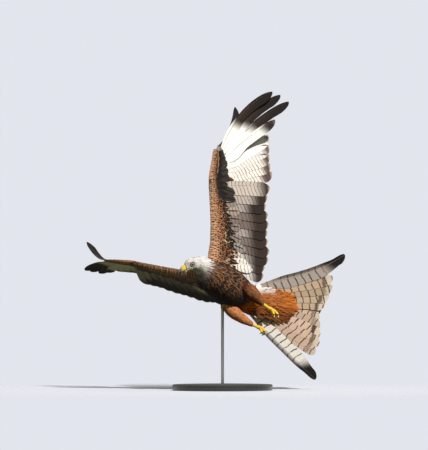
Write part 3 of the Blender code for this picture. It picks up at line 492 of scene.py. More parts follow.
def feather_path(f, s):
    """The shafts: root to tip along a straight line, bowed ahead by 2.1 bow (s - s^4) of the
    length, bent by bend s^power towards the normal and lifted smoothly off the root."""
    along, normal = unit(f["along"])[:, None], unit(f["normal"])[:, None]
    length = f["length"][:, None]
    ahead = np.cross(along, normal)
    rise = f["lift"][:, None] + (f["rise"] - f["lift"])[:, None] * smooth(0.0, 0.4, s)
    rise = rise + f["bend"][:, None] * s ** f["power"][:, None]
    bow = 2.1 * f["bow"][:, None] * length * (s - s**4)
    path = (f["root"][:, None] + (s * length)[..., None] * along + bow[..., None] * ahead
            + rise[..., None] * normal)
    tangent = unit(np.gradient(path, s, axis=1))
    up = unit(normal - tangent * (tangent * normal).sum(-1, keepdims=True))
    tilt = f["tilt"][:, None, None]
    edge = np.cross(tangent, up) * np.cos(tilt) + up * np.sin(tilt)
    return path, edge, np.cross(edge, tangent), tangent


def feather_width(f, s):
    """The vanes' outline: a narrow quill that fills out, a notch where the outer ones narrow,
    and a rounded tip, as a share of the full width."""
    width = f["quill"][:, None] + (1.0 - f["quill"][:, None]) * smooth(0.02, f["fill"][:, None], s)
    notch = smooth(0.0, 1.0, (s - f["slot_at"][:, None]) / 0.2)
    width = width * (1.0 - f["slot"][:, None] * notch)
    end = np.clip((s - f["tip_at"][:, None]) / (1.0 - f["tip_at"][:, None]), 0.0, 1.0)
    return width * np.sqrt(1.0 - (1.0 - f["tip"][:, None] ** 2) * end**2)


def plain_paint(f, s, c, under):
    """Each feather in its own colours: edge, middle streak, bars and tip band."""
    shape = (len(f["length"]), len(s), len(c))
    detail = np.stack([f["streak"], f["bars"], f["turn"], f["band"]], -1)
    return (np.broadcast_to(f["tint"][:, None, None], (*shape, 3)),
            np.broadcast_to(f["core"][:, None, None], (*shape, 3)),
            np.broadcast_to(detail[:, None, None], (*shape, 4)))


def vanes(name, rows, stations, across, paint=plain_paint, strips=False, seed=1, look="plumage"):
    """Thin closed vanes, one for each feather: across the shaft a shallow arch with sharp
    edges, carried along the shaft's path and scaled by the outline."""
    f = stack(rows)
    s = np.asarray(stations, float)
    rng = np.random.default_rng(seed)
    top = np.linspace(-1.0, 1.0, across)
    c = np.concatenate([top, top[-2:0:-1]])
    over = np.concatenate([np.ones(across), -np.ones(across - 2)])
    path, edge, face, tangent = feather_path(f, s)
    width = feather_width(f, s)
    count, rows_each, ring = len(path), len(s), len(c)
    rag = 1.0 - f["rag"][:, None, None] * rng.random((count, rows_each, ring)) * (np.abs(c) > 0.99)
    reach = np.where(c < 0.0, -c * f["lead"][:, None], -c * f["trail"][:, None])
    x = reach[:, None] * width[..., None] * rag
    arch = 1.0 - c**2
    web = (f["lead"] + f["trail"])[:, None, None] * width[..., None]
    half = f["thick"][:, None, None] / 2.0 * over * np.maximum(arch, 0.0)
    height = f["camber"][:, None, None] * web * (arch - 0.5) + half
    drawn = smooth(0.8, 1.0, s)[None, :, None] * c**2 * web * 0.10
    points = (path[:, :, None] + edge[:, :, None] * x[..., None] + face[:, :, None] * height[..., None]
              - tangent[:, :, None] * drawn[..., None])
    points = points * np.stack([np.ones(count), f["side"], np.ones(count)], -1)[:, None, None]
    one = grid_triangles(rows_each, ring)
    below = np.repeat(np.tile(np.arange(ring) >= across - 1, rows_each - 1), 2)
    caps = np.concatenate([fan(0, ring, True), fan((rows_each - 1) * ring, ring, False)])
    one = np.concatenate([one, caps])
    below = np.concatenate([below, np.zeros(len(caps), bool)])
    each = rows_each * ring
    triangles = np.arange(count)[:, None, None] * each + one
    triangles = np.where(f["side"][:, None, None] > 0.0, triangles[..., ::-1], triangles)
    triangles = triangles.reshape(-1, 3)
    corner = triangles.ravel()
    low = np.repeat(np.tile(below, count), 3)
    piece = put_mesh(name, placed(points.reshape(-1, 3)), triangles, material_of(look))
    piece.data.set_sharp_from_angle(angle=math.radians(70.0))
    across_at, along_at = x.ravel()[corner], np.broadcast_to(
        (s * f["length"][:, None])[..., None], x.shape).ravel()[corner]
    set_map(piece, "vane", np.stack([across_at + 0.5, along_at + 0.5], -1))
    c_at = np.broadcast_to(c, x.shape).ravel()[corner]
    s_at = np.broadcast_to(s[:, None], x.shape).ravel()[corner]
    set_map(piece, "share", np.stack([c_at, s_at], -1))
    number = corner // each
    if strips:
        column = (number + 0.5 * low + 0.25 + 0.21 * c_at) / count
        set_map(piece, "OFBake", np.stack([column, 0.01 + 0.98 * s_at], -1))
    else:
        patch = f["patch"][number]
        set_map(piece, "OFBake", patch + 0.0014 * np.stack([c_at, 2.0 * s_at - 1.0], -1))
    painted = [paint(f, s, c, under) for under in (False, True)]
    for k, word in enumerate(("tint", "core", "detail")):
        values = [side[k].reshape(count * each, -1)[corner] for side in painted]
        set_colour(piece, word, np.where(low[:, None], values[1], values[0]))
    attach(piece, "root")
    return piece


def shafts(name, rows, stations, thick, tone):
    """The quills: a round tube along each feather's path that tapers to its tip."""
    f = stack(rows)
    s = np.asarray(stations, float)
    path, edge, face, _ = feather_path(f, s)
    angle = np.arange(6) * math.pi / 3.0
    radius = thick * f["length"][:, None] * (1.0 - 0.85 * s ** 0.8) + 0.12 * MM
    ring = (edge[:, :, None] * np.cos(angle)[:, None] + face[:, :, None] * np.sin(angle)[:, None])
    web = (f["lead"] + f["trail"])[:, None] * feather_width(f, s) * f["camber"][:, None] * 0.5
    points = (path + face * web[..., None])[:, :, None] + ring * radius[..., None, None]
    points = points * np.stack([np.ones(len(path)), f["side"], np.ones(len(path))], -1)[:, None, None]
    one = np.concatenate([grid_triangles(len(s), 6), fan(0, 6, True),
                          fan((len(s) - 1) * 6, 6, False)])
    triangles = np.arange(len(path))[:, None, None] * len(s) * 6 + one
    triangles = np.where(f["side"][:, None, None] > 0.0, triangles, triangles[..., ::-1])
    piece = put_mesh(name, placed(points.reshape(-1, 3)), triangles.reshape(-1, 3),
                     material_of("quill"))
    corner = triangles.ravel()
    shade = tone(f, s)
    colours = np.broadcast_to(shade[:, :, None], (*shade.shape[:2], 6, 3)).reshape(-1, 3)
    set_colour(piece, "tint", colours[corner])
    number = corner // (len(s) * 6)
    s_at = np.broadcast_to(s[:, None], (len(path), len(s), 6)).ravel()[corner]
    turn = (corner % 6) / 6.0
    set_map(piece, "OFBake", np.stack([(number + 0.8 * turn) / len(path), s_at], -1))
    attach(piece, "root")
    return piece


def new_group(name, inputs, outputs):
    """An empty shader node group with its sockets, and its two end nodes."""
    group = bpy.data.node_groups.new(name, "ShaderNodeTree")
    for word, kind, value in inputs:
        socket = group.interface.new_socket(word, in_out="INPUT", socket_type=kind)
        socket.default_value = value
    for word, kind in outputs:
        group.interface.new_socket(word, in_out="OUTPUT", socket_type=kind)
    return group, group.nodes.new("NodeGroupInput"), group.nodes.new("NodeGroupOutput")


class Wires:
    """Short ways to add nodes to a tree: each gives back the output socket."""

    def __init__(self, tree):
        self.tree = tree

    def node(self, kind, **settings):
        made = self.tree.nodes.new(kind)
        for word, value in settings.items():
            setattr(made, word, value)
        return made

    def set(self, socket, value):
        if isinstance(value, bpy.types.NodeSocket):
            self.tree.links.new(value, socket)
        else:
            socket.default_value = value

    def math(self, operation, *values, clamp=False):
        made = self.node("ShaderNodeMath", operation=operation, use_clamp=clamp)
        for socket, value in zip(made.inputs, values):
            self.set(socket, value)
        return made.outputs[0]

    def step(self, low, high, value):
        made = self.node("ShaderNodeMapRange", interpolation_type="SMOOTHSTEP")
        for word, amount in (("Value", value), ("From Min", low), ("From Max", high)):
            self.set(made.inputs[word], amount)
        return made.outputs["Result"]

    def mix(self, share, first, second, blend="MIX"):
        made = self.node("ShaderNodeMix", data_type="RGBA", blend_type=blend)
        for socket, value in ((made.inputs[0], share), (made.inputs[6], first),
                              (made.inputs[7], second)):
            self.set(socket, value)
        return made.outputs[2]

    def noise(self, vector, scale, detail=2.0, rough=0.5):
        made = self.node("ShaderNodeTexNoise")
        self.set(made.inputs["Vector"], vector)
        made.inputs["Scale"].default_value = scale
        made.inputs["Detail"].default_value = detail
        made.inputs["Roughness"].default_value = rough
        return made.outputs["Fac"]

    def vector(self, x, y, z=0.0):
        made = self.node("ShaderNodeCombineXYZ")
        for socket, value in zip(made.inputs, (x, y, z)):
            self.set(socket, value)
        return made.outputs[0]

    def split(self, vector):
        made = self.node("ShaderNodeSeparateXYZ")
        self.set(made.inputs[0], vector)
        return made.outputs


def plume_group():
    """The feather pattern: barbs that slant off the shaft, a dark streak along it, slanting
    bars and a dark band at the tip, drawn from the vane's own maps and attributes."""
    group, _, ends = new_group(
        "Plume pattern", [("Pitch", "NodeSocketFloat", 0.016), ("Barbs", "NodeSocketFloat", 1.0)],
        [("Color", "NodeSocketColor"), ("Height", "NodeSocketFloat"), ("Rough", "NodeSocketFloat")])
    w = Wires(group)
    entry = next(n for n in group.nodes if n.bl_idname == "NodeGroupInput")
    pitch, barbs = entry.outputs["Pitch"], entry.outputs["Barbs"]
    x, y, _ = w.split(w.node("ShaderNodeUVMap", uv_map="vane").outputs[0])
    c, s, _ = w.split(w.node("ShaderNodeUVMap", uv_map="share").outputs[0])
    tint = w.node("ShaderNodeAttribute", attribute_name="tint").outputs["Color"]
    core = w.node("ShaderNodeAttribute", attribute_name="core").outputs["Color"]
    detail = w.node("ShaderNodeAttribute", attribute_name="detail")
    streak, bars, chance = w.split(detail.outputs["Vector"])
    band = detail.outputs["Alpha"]
    x = w.math("SUBTRACT", x, 0.5)
    y = w.math("SUBTRACT", y, 0.5)
    off = w.math("ABSOLUTE", x)
    along = w.math("SUBTRACT", y, w.math("MULTIPLY", off, 1.1))
    seed = w.math("MULTIPLY", chance, 37.0)
    clumps = w.noise(w.vector(w.math("MULTIPLY", off, 40.0), w.math("MULTIPLY", along, 900.0), seed),
                     1.0, 3.0, 0.65)
    broad = w.noise(w.vector(w.math("MULTIPLY", off, 25.0), w.math("MULTIPLY", along, 170.0), seed),
                    1.0, 2.0, 0.5)
    away = w.math("ABSOLUTE", c)
    frayed = w.math("ADD", away, w.math("MULTIPLY", w.math("SUBTRACT", clumps, 0.5), 0.35))
    point = w.math("MULTIPLY", streak, w.math("SUBTRACT", 1.0, w.math("POWER", s, 7.0)))
    middle = w.math("SUBTRACT", 1.0, w.step(w.math("MULTIPLY", point, 0.55), point, frayed))
    middle = w.math("MULTIPLY", middle, w.step(0.0, 0.02, streak))
    wavy = w.noise(w.vector(w.math("MULTIPLY", x, 55.0), w.math("MULTIPLY", y, 40.0), seed), 1.0)
    across = w.math("SUBTRACT", y, w.math("MULTIPLY", off, 0.30))
    wave = w.math("DIVIDE", w.math("ADD", across, w.math("MULTIPLY", wavy, 0.011)), pitch)
    wave = w.math("SINE", w.math("MULTIPLY", w.math("ADD", wave, chance), 2.0 * math.pi))
    ragged = w.math("ADD", wave, w.math("MULTIPLY", w.math("SUBTRACT", clumps, 0.5), 0.5))
    bar = w.math("MULTIPLY", w.step(0.74, 0.98, ragged), bars)
    bar = w.math("MULTIPLY", bar, w.step(0.30, 0.55, w.math("ADD", broad, w.math("MULTIPLY", away, 0.2))))
    late = w.math("ADD", s, w.math("MULTIPLY", w.math("SUBTRACT", broad, 0.5), 0.07))
    tip = w.math("SUBTRACT", w.step(0.855, 0.875, late), w.step(0.905, 0.925, late))
    tip = w.math("MULTIPLY", tip, band)
    dark = w.math("MAXIMUM", w.math("MAXIMUM", middle, bar), tip, clamp=True)
    colour = w.mix(dark, tint, core)
    tone = w.math("ADD", 0.70, w.math("MULTIPLY", clumps, 0.60))
    tone = w.math("MULTIPLY", tone, w.math("ADD", 0.84, w.math("MULTIPLY", chance, 0.32)))
    colour = w.mix(1.0, colour, w.vector(tone, tone, tone), "MULTIPLY")
    fine = w.math("SINE", w.math("MULTIPLY", along, 2.0 * math.pi / 0.0011))
    height = w.math("ADD", w.math("MULTIPLY", clumps, 1.0), w.math("MULTIPLY", fine, 0.10))
    height = w.math("MULTIPLY", height, barbs)
    rough = w.math("ADD", 0.70, w.math("MULTIPLY", clumps, 0.25))
    for word, value in (("Color", colour), ("Height", height), ("Rough", rough)):
        w.set(ends.inputs[word], value)
    return group


def fresh(name):
    """A new material, its wires and its shader."""
    made = bpy.data.materials.new("kite_" + name)
    made.use_nodes = True
    return made, Wires(made.node_tree), made.node_tree.nodes["Principled BSDF"]


def bump(w, shader, height, strength, distance):
    """Feeds a height into the shader's normal."""
    made = w.node("ShaderNodeBump")
    made.inputs["Strength"].default_value = strength
    made.inputs["Distance"].default_value = distance
    w.set(made.inputs["Height"], height)
    w.set(shader.inputs["Normal"], made.outputs[0])


def plumage(name, pitch):
    """Feathers: the pattern group's colour, barbs as bump and a soft sheen."""
    made, w, shader = fresh(name)
    group = bpy.data.node_groups.get("Plume pattern") or plume_group()
    look = w.node("ShaderNodeGroup", node_tree=group)
    look.inputs["Pitch"].default_value = pitch
    w.set(shader.inputs["Base Color"], look.outputs["Color"])
    w.set(shader.inputs["Roughness"], look.outputs["Rough"])
    bump(w, shader, look.outputs["Height"], 0.35, 0.0006)
    shader.inputs["Specular IOR Level"].default_value = 0.15
    shader.inputs["Sheen Weight"].default_value = 0.02
    shader.inputs["Sheen Roughness"].default_value = 0.45
    return made


def quill():
    """Shafts: smooth horn in the feather's own shade."""
    made, w, shader = fresh("quill")
    tint = w.node("ShaderNodeAttribute", attribute_name="tint").outputs["Color"]
    where = w.node("ShaderNodeTexCoord").outputs["Object"]
    grain = w.noise(where, 900.0)
    w.set(shader.inputs["Base Color"], w.mix(w.math("MULTIPLY", grain, 0.3), tint, (0, 0, 0, 1)))
    w.set(shader.inputs["Roughness"], w.math("ADD", 0.28, w.math("MULTIPLY", grain, 0.2)))
    return made


def skin_look():
    """Skin under the coat: the plumage's colour there, downy and dull."""
    made, w, shader = fresh("skin")
    tint = w.node("ShaderNodeAttribute", attribute_name="tint").outputs["Color"]
    where = w.node("ShaderNodeTexCoord").outputs["Object"]
    down = w.noise(where, 420.0, 4.0, 0.7)
    w.set(shader.inputs["Base Color"], w.mix(w.math("MULTIPLY", down, 0.8), tint,
                                             (0.012, 0.009, 0.008, 1.0)))
    w.set(shader.inputs["Roughness"], w.math("ADD", 0.65, w.math("MULTIPLY", down, 0.3)))
    bump(w, shader, down, 0.6, 0.0012)
    return made


def leathery(name, base, shade, scale):
    """Bare skin with small round scales: colour deeper in the creases, waxy sheen."""
    made, w, shader = fresh(name)
    where = w.node("ShaderNodeTexCoord").outputs["Object"]
    cells = w.node("ShaderNodeTexVoronoi", feature="DISTANCE_TO_EDGE")
    cells.inputs["Scale"].default_value = scale
    w.set(cells.inputs["Vector"], where)
    crease = w.step(0.0, 0.16, cells.outputs["Distance"])
    blotch = w.noise(where, 160.0, 3.0)
    tone = w.mix(w.math("MULTIPLY", blotch, 0.5), base, shade)
    w.set(shader.inputs["Base Color"], w.mix(crease, w.mix(0.55, tone, shade), tone))
    w.set(shader.inputs["Roughness"], w.math("ADD", 0.36, w.math("MULTIPLY", blotch, 0.2)))
    shader.inputs["Subsurface Weight"].default_value = 0.05
    shader.inputs["Subsurface Radius"].default_value = (0.004, 0.002, 0.001)
    bump(w, shader, w.math("ADD", crease, w.math("MULTIPLY", blotch, 0.3)), 0.45, 0.0005)
    return made


def horn(name, pale, dark, start, end):
    """Polished horn that darkens from its root to its tip along its own map."""
    made, w, shader = fresh(name)
    _, v, _ = w.split(w.node("ShaderNodeUVMap", uv_map="share").outputs[0])
    where = w.node("ShaderNodeTexCoord").outputs["Object"]
    streaks = w.noise(where, 700.0, 3.0)
    share = w.step(start, end, w.math("ADD", v, w.math("MULTIPLY", streaks, 0.12)))
    w.set(shader.inputs["Base Color"], w.mix(share, pale, dark))
    w.set(shader.inputs["Roughness"], w.math("ADD", 0.16, w.math("MULTIPLY", streaks, 0.25)))
    shader.inputs["Coat Weight"].default_value = 0.3
    bump(w, shader, streaks, 0.12, 0.0003)
    return made


def eye_look():
    """The eye: a black pupil, a pale iris with fine rays, a dark rim, and a clear wet coat."""
    made, w, shader = fresh("eye")
    u, v, _ = w.split(w.node("ShaderNodeUVMap", uv_map="share").outputs[0])
    rays = w.noise(w.vector(w.math("MULTIPLY", u, 60.0), w.math("MULTIPLY", v, 3.0)), 1.0, 3.0)
    ring = w.mix(w.step(0.20, 0.34, v), (0.62, 0.50, 0.22, 1.0), bare("iris"))
    ring = w.mix(w.math("MULTIPLY", rays, 0.5), ring, (0.28, 0.22, 0.12, 1.0))
    colour = w.mix(w.step(0.17, 0.19, v), (0.002, 0.002, 0.002, 1.0), ring)
    colour = w.mix(w.step(0.36, 0.42, v), colour, (0.015, 0.012, 0.010, 1.0))
    w.set(shader.inputs["Base Color"], colour)
    w.set(shader.inputs["Roughness"], w.math("ADD", 0.25, w.math("MULTIPLY", rays, 0.1)))
    shader.inputs["Coat Weight"].default_value = 1.0
    shader.inputs["Coat Roughness"].default_value = 0.02
    return made


def lacquer():
    """Black lacquer on turned wood: faint rings of grain and a clear coat."""
    made, w, shader = fresh("lacquer")
    where = w.node("ShaderNodeTexCoord").outputs["Object"]
    stretched = w.node("ShaderNodeMapping")
    stretched.inputs["Scale"].default_value = (6.0, 60.0, 60.0)
    w.set(stretched.inputs["Vector"], where)
    grain = w.noise(stretched.outputs[0], 1.0, 5.0, 0.6)
    w.set(shader.inputs["Base Color"], w.mix(grain, bare("lacquer"), (0.030, 0.027, 0.025, 1.0)))
    w.set(shader.inputs["Roughness"], w.math("ADD", 0.24, w.math("MULTIPLY", grain, 0.2)))
    shader.inputs["Coat Weight"].default_value = 0.5
    bump(w, shader, grain, 0.08, 0.0004)
    return made


def steel():
    """Brushed steel: fine scratches round the rod."""
    made, w, shader = fresh("steel")
    where = w.node("ShaderNodeTexCoord").outputs["Object"]
    stretched = w.node("ShaderNodeMapping")
    stretched.inputs["Scale"].default_value = (90.0, 90.0, 1400.0)
    w.set(stretched.inputs["Vector"], where)
    marks = w.noise(stretched.outputs[0], 1.0, 4.0, 0.7)
    w.set(shader.inputs["Base Color"], w.mix(marks, (0.42, 0.42, 0.43, 1.0), bare("steel")))
    w.set(shader.inputs["Roughness"], w.math("ADD", 0.22, w.math("MULTIPLY", marks, 0.2)))
    shader.inputs["Metallic"].default_value = 1.0
    bump(w, shader, marks, 0.1, 0.0002)
    return made


def floor_look(colour):
    """The floor: a pale matt ground that thins out to nothing far from the stand."""
    made, w, shader = fresh("floor")
    where = w.node("ShaderNodeTexCoord").outputs["Object"]
    length = w.node("ShaderNodeVectorMath", operation="LENGTH")
    w.set(length.inputs[0], where)
    speck = w.noise(where, 30.0, 4.0)
    w.set(shader.inputs["Base Color"], w.mix(w.math("MULTIPLY", speck, 0.04), (*colour, 1.0),
                                             (0.5, 0.5, 0.5, 1.0)))
    w.set(shader.inputs["Alpha"], w.math("SUBTRACT", 1.0, w.step(0.35, 1.3, length.outputs["Value"])))
    shader.inputs["Roughness"].default_value = 0.9
    return made


LOOKS = {
    "plumage": lambda: plumage("plumage", 0.0165),
    "tail_plumage": lambda: plumage("tail_plumage", 0.026),
    "quill": quill, "skin": skin_look, "eye": eye_look, "lacquer": lacquer,
    "steel": steel,
    "foot": lambda: leathery("foot", bare("foot"), bare("foot_shade"), 620.0),
    "cere": lambda: leathery("cere", bare("cere"), bare("cere_shade"), 1900.0),
    "rim": lambda: leathery("rim", bare("rim"), (0.010, 0.009, 0.009, 1.0), 1500.0),
    "bill": lambda: horn("bill", bare("horn"), bare("horn_tip"), 0.05, 0.55),
    "claw": lambda: horn("claw", (0.045, 0.040, 0.038, 1.0), bare("horn_tip"), 0.0, 0.5),
}


def material_of(name):
    """The named material of the model, made when it is first asked for."""
    return bpy.data.materials.get("kite_" + name) or LOOKS[name]()


def body_marks(point, angle):
    """Edge colour, streak colour and streak width of the body's feathers by their place: grey
    head, streaked rufous breast, dark rufous belly, brown back, bright vent and its white left side. The
    breast's rufous reaches over the left flank, which the sun lights, as painted light, and the belly turns
    black on the right side, which lies in shade, as painted shade."""
    x = point[..., 0]
    back = smooth(0.1, 0.7, np.sin(angle))
    head = smooth(0.106, 0.134, x - 0.22 * np.clip(point[..., 1], -0.03, 0.03) - 0.008 * back)
    vent = 1.0 - smooth(-0.080, -0.035, x)
    # Painted light: the breast's rufous is set by the side, so it covers the sunlit left flank and gives way
    # to the belly colour on the shaded right side.
    breast = smooth(-0.020, 0.050, point[..., 1] + 0.25 * x)
    # Painted shade: the belly colour turns black on the right side, which lies in shade.
    belly_with_painted_shade = mix(hue("belly"), hue("black"), 0.75 * smooth(0.02, -0.02, point[..., 1]))
    tint = mix(mix(belly_with_painted_shade, hue("vent"), vent), mix(hue("rufous"), hue("belly"), 0.15), 0.85 * breast)
    tint = mix(tint, mix(hue("rufous"), hue("brown"), 0.55), back * (1.0 - 0.75 * vent))
    patch = smooth(-0.074, -0.094, x) * smooth(0.024, 0.036, point[..., 1])
    patch = patch * smooth(0.5, 0.1, np.sin(angle))
    tint = mix(mix(tint, mix(hue("white"), hue("cream"), 0.2), patch), hue("head"), head)
    core = mix(hue("black"), hue("belly"), 0.8 * vent * (1.0 - back))
    core = mix(core, hue("head_streak"), head)
    streak = 0.98 - 0.04 * breast - 0.90 * vent * (1.0 - back) - 0.26 * back
    streak = streak * (1.0 - head) + (0.14 + 0.16 * smooth(0.125, 0.145, x)) * head
    return tint, core, streak * (1.0 - patch)


def flight_paint(f, s, c, under):
    """Wing quills: above, dark brown with faint bars; below, a white window over the primaries'
    roots, black fingers, and secondaries with pale barred roots, dark ends and a thin fringe. Painted shade
    also darkens one web of each secondary except those nearest the wrist."""
    s = s[None, :, None] + np.zeros((len(f["length"]), 1, len(c)))
    middle = 1.0 - np.abs(c) + 0.0 * s
    number = f["primary"][:, None, None] + 0.0 * s
    chance = f["turn"][:, None, None] + 0.0 * s
    inner = smooth(0.20, 0.02, f["place"][:, None, None] + 0.0 * s)
    hand = number > 0.5
    if under:
        window = np.interp(number, (1, 2, 3, 4, 5, 6, 7, 8, 9, 10),
                           (0.83, 0.87, 0.91, 0.94, 0.96, 0.86, 0.60, 0.55, 0.51, 0.38))
        ended = smooth(-0.07, 0.06, s - window + 0.03 * middle - 0.04 * (chance - 0.5))
        finger = mix(hue("black"), hue("brown"), 0.10 + 0.70 * middle * smooth(0.95, 0.6, s))
        dark = mix(mix(hue("grey"), hue("brown"), 0.55), finger, smooth(4.5, 6.5, number))
        tint = mix(mix(hue("white"), hue("cream"), 0.30 * smooth(5.0, 1.5, number)), dark, ended)
        root = mix(hue("white"), hue("grey"), 0.96 - 0.72 * inner - 0.18 * chance)
        end = mix(mix(hue("grey"), hue("brown"), 0.9), hue("black"), 0.30 + 0.50 * chance)
        outer = smooth(0.54, 0.62, f["place"][:, None, None] + 0.0 * s)
        root = mix(root, mix(hue("white"), hue("cream"), 0.45), 0.62 * outer)
        arm = mix(root, end, smooth(0.50, 0.76, s - 0.12 * inner - 0.20 * outer
                                    + 0.05 * (chance - 0.5)))
        # Painted shade: the web on the side where c is below zero darkens, standing for the folds of shade
        # between the overlapping secondaries.
        arm = mix(arm, hue("black"), 0.50 * smooth(-0.1, -0.9, c + 0.0 * s) * (1.0 - outer))
        tint = np.where(hand[..., None], tint, arm)
        bars = np.where(hand, 0.95 * smooth(5.5, 2.8, number) * smooth(0.25, 0.42, s), 0.85)
        fringe = 0.75 * smooth(0.965, 0.99, s) * smooth(6.5, 5.0, number)
        tint = mix(tint, hue("cream"), fringe)
    else:
        tint = mix(mix(hue("brown"), hue("black"), np.where(hand, 0.6, 0.1)), hue("black"),
                   smooth(0.5, 0.9, s))
        bars = 0.5 * (1.0 - smooth(3.0, 6.0, number))
        tint = mix(tint, hue("buff"), 0.5 * smooth(0.97, 0.99, s) * smooth(5.0, 3.0, number))
    core = np.broadcast_to(mix(hue("black"), hue("brown"), 0.5 + 0.0 * s), tint.shape)
    return tint, core, np.stack([0.0 * s, bars * (1.0 - 0.5 * smooth(0.8, 0.97, s)), chance,
                                 0.0 * s], -1)


def tail_paint(f, s, c, under):
    """Tail feathers: above, orange rufous with thin bars; below, cream on the left half and
    pinkish buff on the right, barred, with a dark band before pale tips, and the outermost pair
    greyer with a dark outer web and a black end. The split below is painted light: the right half's pinkish
    buff stands for sun shining through the rufous feathers, and the left half and its outermost feather are
    greyed as painted shade."""
    s = s[None, :, None] + np.zeros((len(f["length"]), 1, len(c)))
    out = smooth(4.5, 5.0, f["primary"][:, None, None] + 0.0 * s)
    left = f["place"][:, None, None] > 0.0
    web = np.where(left, -c, c) + 0.0 * s
    chance = f["turn"][:, None, None] + 0.0 * s
    if under:
        # Painted light: the right half is tinted pinkish buff for sun shining through the rufous feathers,
        # and the left half is greyed as painted shade.
        pink = mix(mix(hue("cream"), hue("vent"), 0.33), hue("white"), 0.25)
        rust = mix(hue("cream"), pink, np.where(left, 0.0, 1.0))
        rust = mix(rust, hue("grey"), 0.22 * left + 0.10 * (chance - 0.5))
        silver = mix(hue("white"), hue("grey"), 0.04 + 0.72 * left)
        tint = mix(rust, silver, 0.05 + 0.85 * out)
        tint = mix(tint, mix(hue("white"), hue("cream"), 0.5), 0.6 * smooth(0.90, 0.94, s))
        bars = 0.95 - 0.9 * out * smooth(0.70, 0.80, s)
    else:
        tint = mix(hue("vent"), hue("rufous"), 0.3 + 0.0 * s)
        bars = 0.55 + 0.0 * s
    edge = out * smooth(0.05, 0.45, web) * smooth(0.10, 0.35, s)
    tint = mix(tint, mix(hue("black"), hue("grey"), 0.45), 0.9 * edge)
    tint = mix(tint, hue("black"), out * smooth(0.72, 0.84, s + 0.05 * web))
    core = np.broadcast_to(mix(hue("black"), hue("brown"), 0.7 + 0.0 * s), tint.shape)
    return tint, core, np.stack([0.0 * s, bars, chance, (0.30 + 0.65 * chance) * (1.0 - out)], -1)


def secondaries(pose):
    """The arm's flight feathers from the body to the wrist."""
    rows = []
    for share in np.linspace(SECONDARY_PLACES[0], 0.96, SECONDARIES):
        arm, arm_back, arm_up = arm_axes(pose, share)
        turn = 0.32 * (share - 0.75)
        behind = 0.030 * (1.4 - abs(2.0 * share - 1.0) * 0.7)
        rows.append({
            "root": SHOULDER + share * pose["reach"] * arm + behind * arm_back,
            "along": math.sin(turn) * arm + math.cos(turn) * arm_back, "normal": arm_up,
            "length": float(np.interp(share, SECONDARY_PLACES, SECONDARY_LENGTH))
            * (1.0 + 0.025 * math.sin(19.0 * share + 2.0)),
            "lead": 0.016, "trail": 0.036, "bow": 0.010, "bend": -0.014, "tilt": 0.05,
            "behind": behind, "place": share * 2.0 / 3.0, "primary": 0, "camber": 0.016,
            "bone": SHOULDER + share * pose["reach"] * arm, "back": arm_back, "tip_at": 0.84,
            "thick": 0.35 * MM,
        })
    return rows


def primaries(pose):
    """The hand's flight feathers, the last five of them fingers, from the wrist to the tip."""
    hand, hand_back, hand_up = wing_axes(*pose["hand"])
    fan_in, fan_out = (math.radians(a) for a in pose["fan"])
    rows = []
    for k, (length, bow, apart) in enumerate(zip(PRIMARY_LENGTH, PRIMARY_BOW, PRIMARY_TURN)):
        number = k + 1
        share = k / (PRIMARIES - 1)
        turn = fan_in + (fan_out - fan_in) * share + math.radians(apart)
        finger = number > PRIMARIES - FINGERS
        bend = -pose["bend"] if finger else -0.015
        rows.append({
            "root": wrist_of(pose) + HAND * (0.06 + 0.94 * share) * hand + 0.012 * hand_back,
            "along": math.cos(turn) * hand + math.sin(turn) * hand_back, "normal": hand_up,
            "length": length, "bow": bow * pose["bow"], "tilt": 0.055,
            "lead": 0.010 if finger else 0.013, "trail": 0.032 if finger else 0.033,
            "bend": pose["tip_bend"] if number == PRIMARIES else bend,
            "power": 2.6 if finger else 2.0, "slot": 0.26 if finger else 0.0,
            "behind": 0.018, "place": 2.0 / 3.0 + share / 3.0, "primary": number,
            "bone": wrist_of(pose) + HAND * (0.06 + 0.94 * share) * hand, "back": hand_back,
            "camber": 0.010, "tip_at": 0.88 if finger else 0.86, "thick": 0.35 * MM,
        })
    return rows


def thumb(pose):
    """The thumb's four stiff feathers, which lie along the front of the hand."""
    hand, hand_back, hand_up = wing_axes(*pose["hand"])
    rows = []
    for k, length in enumerate((0.060, 0.085, 0.106, 0.122)):
        turn = math.radians(15.0 - 2.5 * k)
        ahead = 0.004 - 0.003 * k
        rows.append({
            "root": wrist_of(pose) + 0.004 * hand + ahead * hand_back - (2.0 - 0.7 * k) * MM * hand_up,
            "along": math.cos(turn) * hand + math.sin(turn) * hand_back, "normal": hand_up,
            "length": length, "bow": 0.03, "bend": -0.004, "tilt": 0.25, "lead": 0.0045,
            "trail": 0.0095, "slot": 0.0, "camber": 0.05, "tip_at": 0.7, "thick": 0.4 * MM,
            "place": 0.8, "primary": 8, "side": pose["side"], "turn": 0.2 * k,
            "tint": mix(hue("rufous"), hue("black"), 0.35), "core": hue("black"), "streak": 0.8,
        })
    return rows


def airfoil(lead, back, up, chord, thickness, share):
    """A wing section: a blunt leading edge, swelling soon and thinning to the rear."""
    half = thickness / 2.0 * np.sqrt(share / 0.22) * np.exp(0.5 * (1.0 - share / 0.22))
    half = np.maximum(half, 0.0008)
    half[0] = 0.0
    top = lead + np.outer(share * chord, back) + np.outer(0.75 * half, up)
    low = lead + np.outer(share * chord, back) - np.outer(1.25 * half, up)
    return np.concatenate([top, low[:0:-1]])


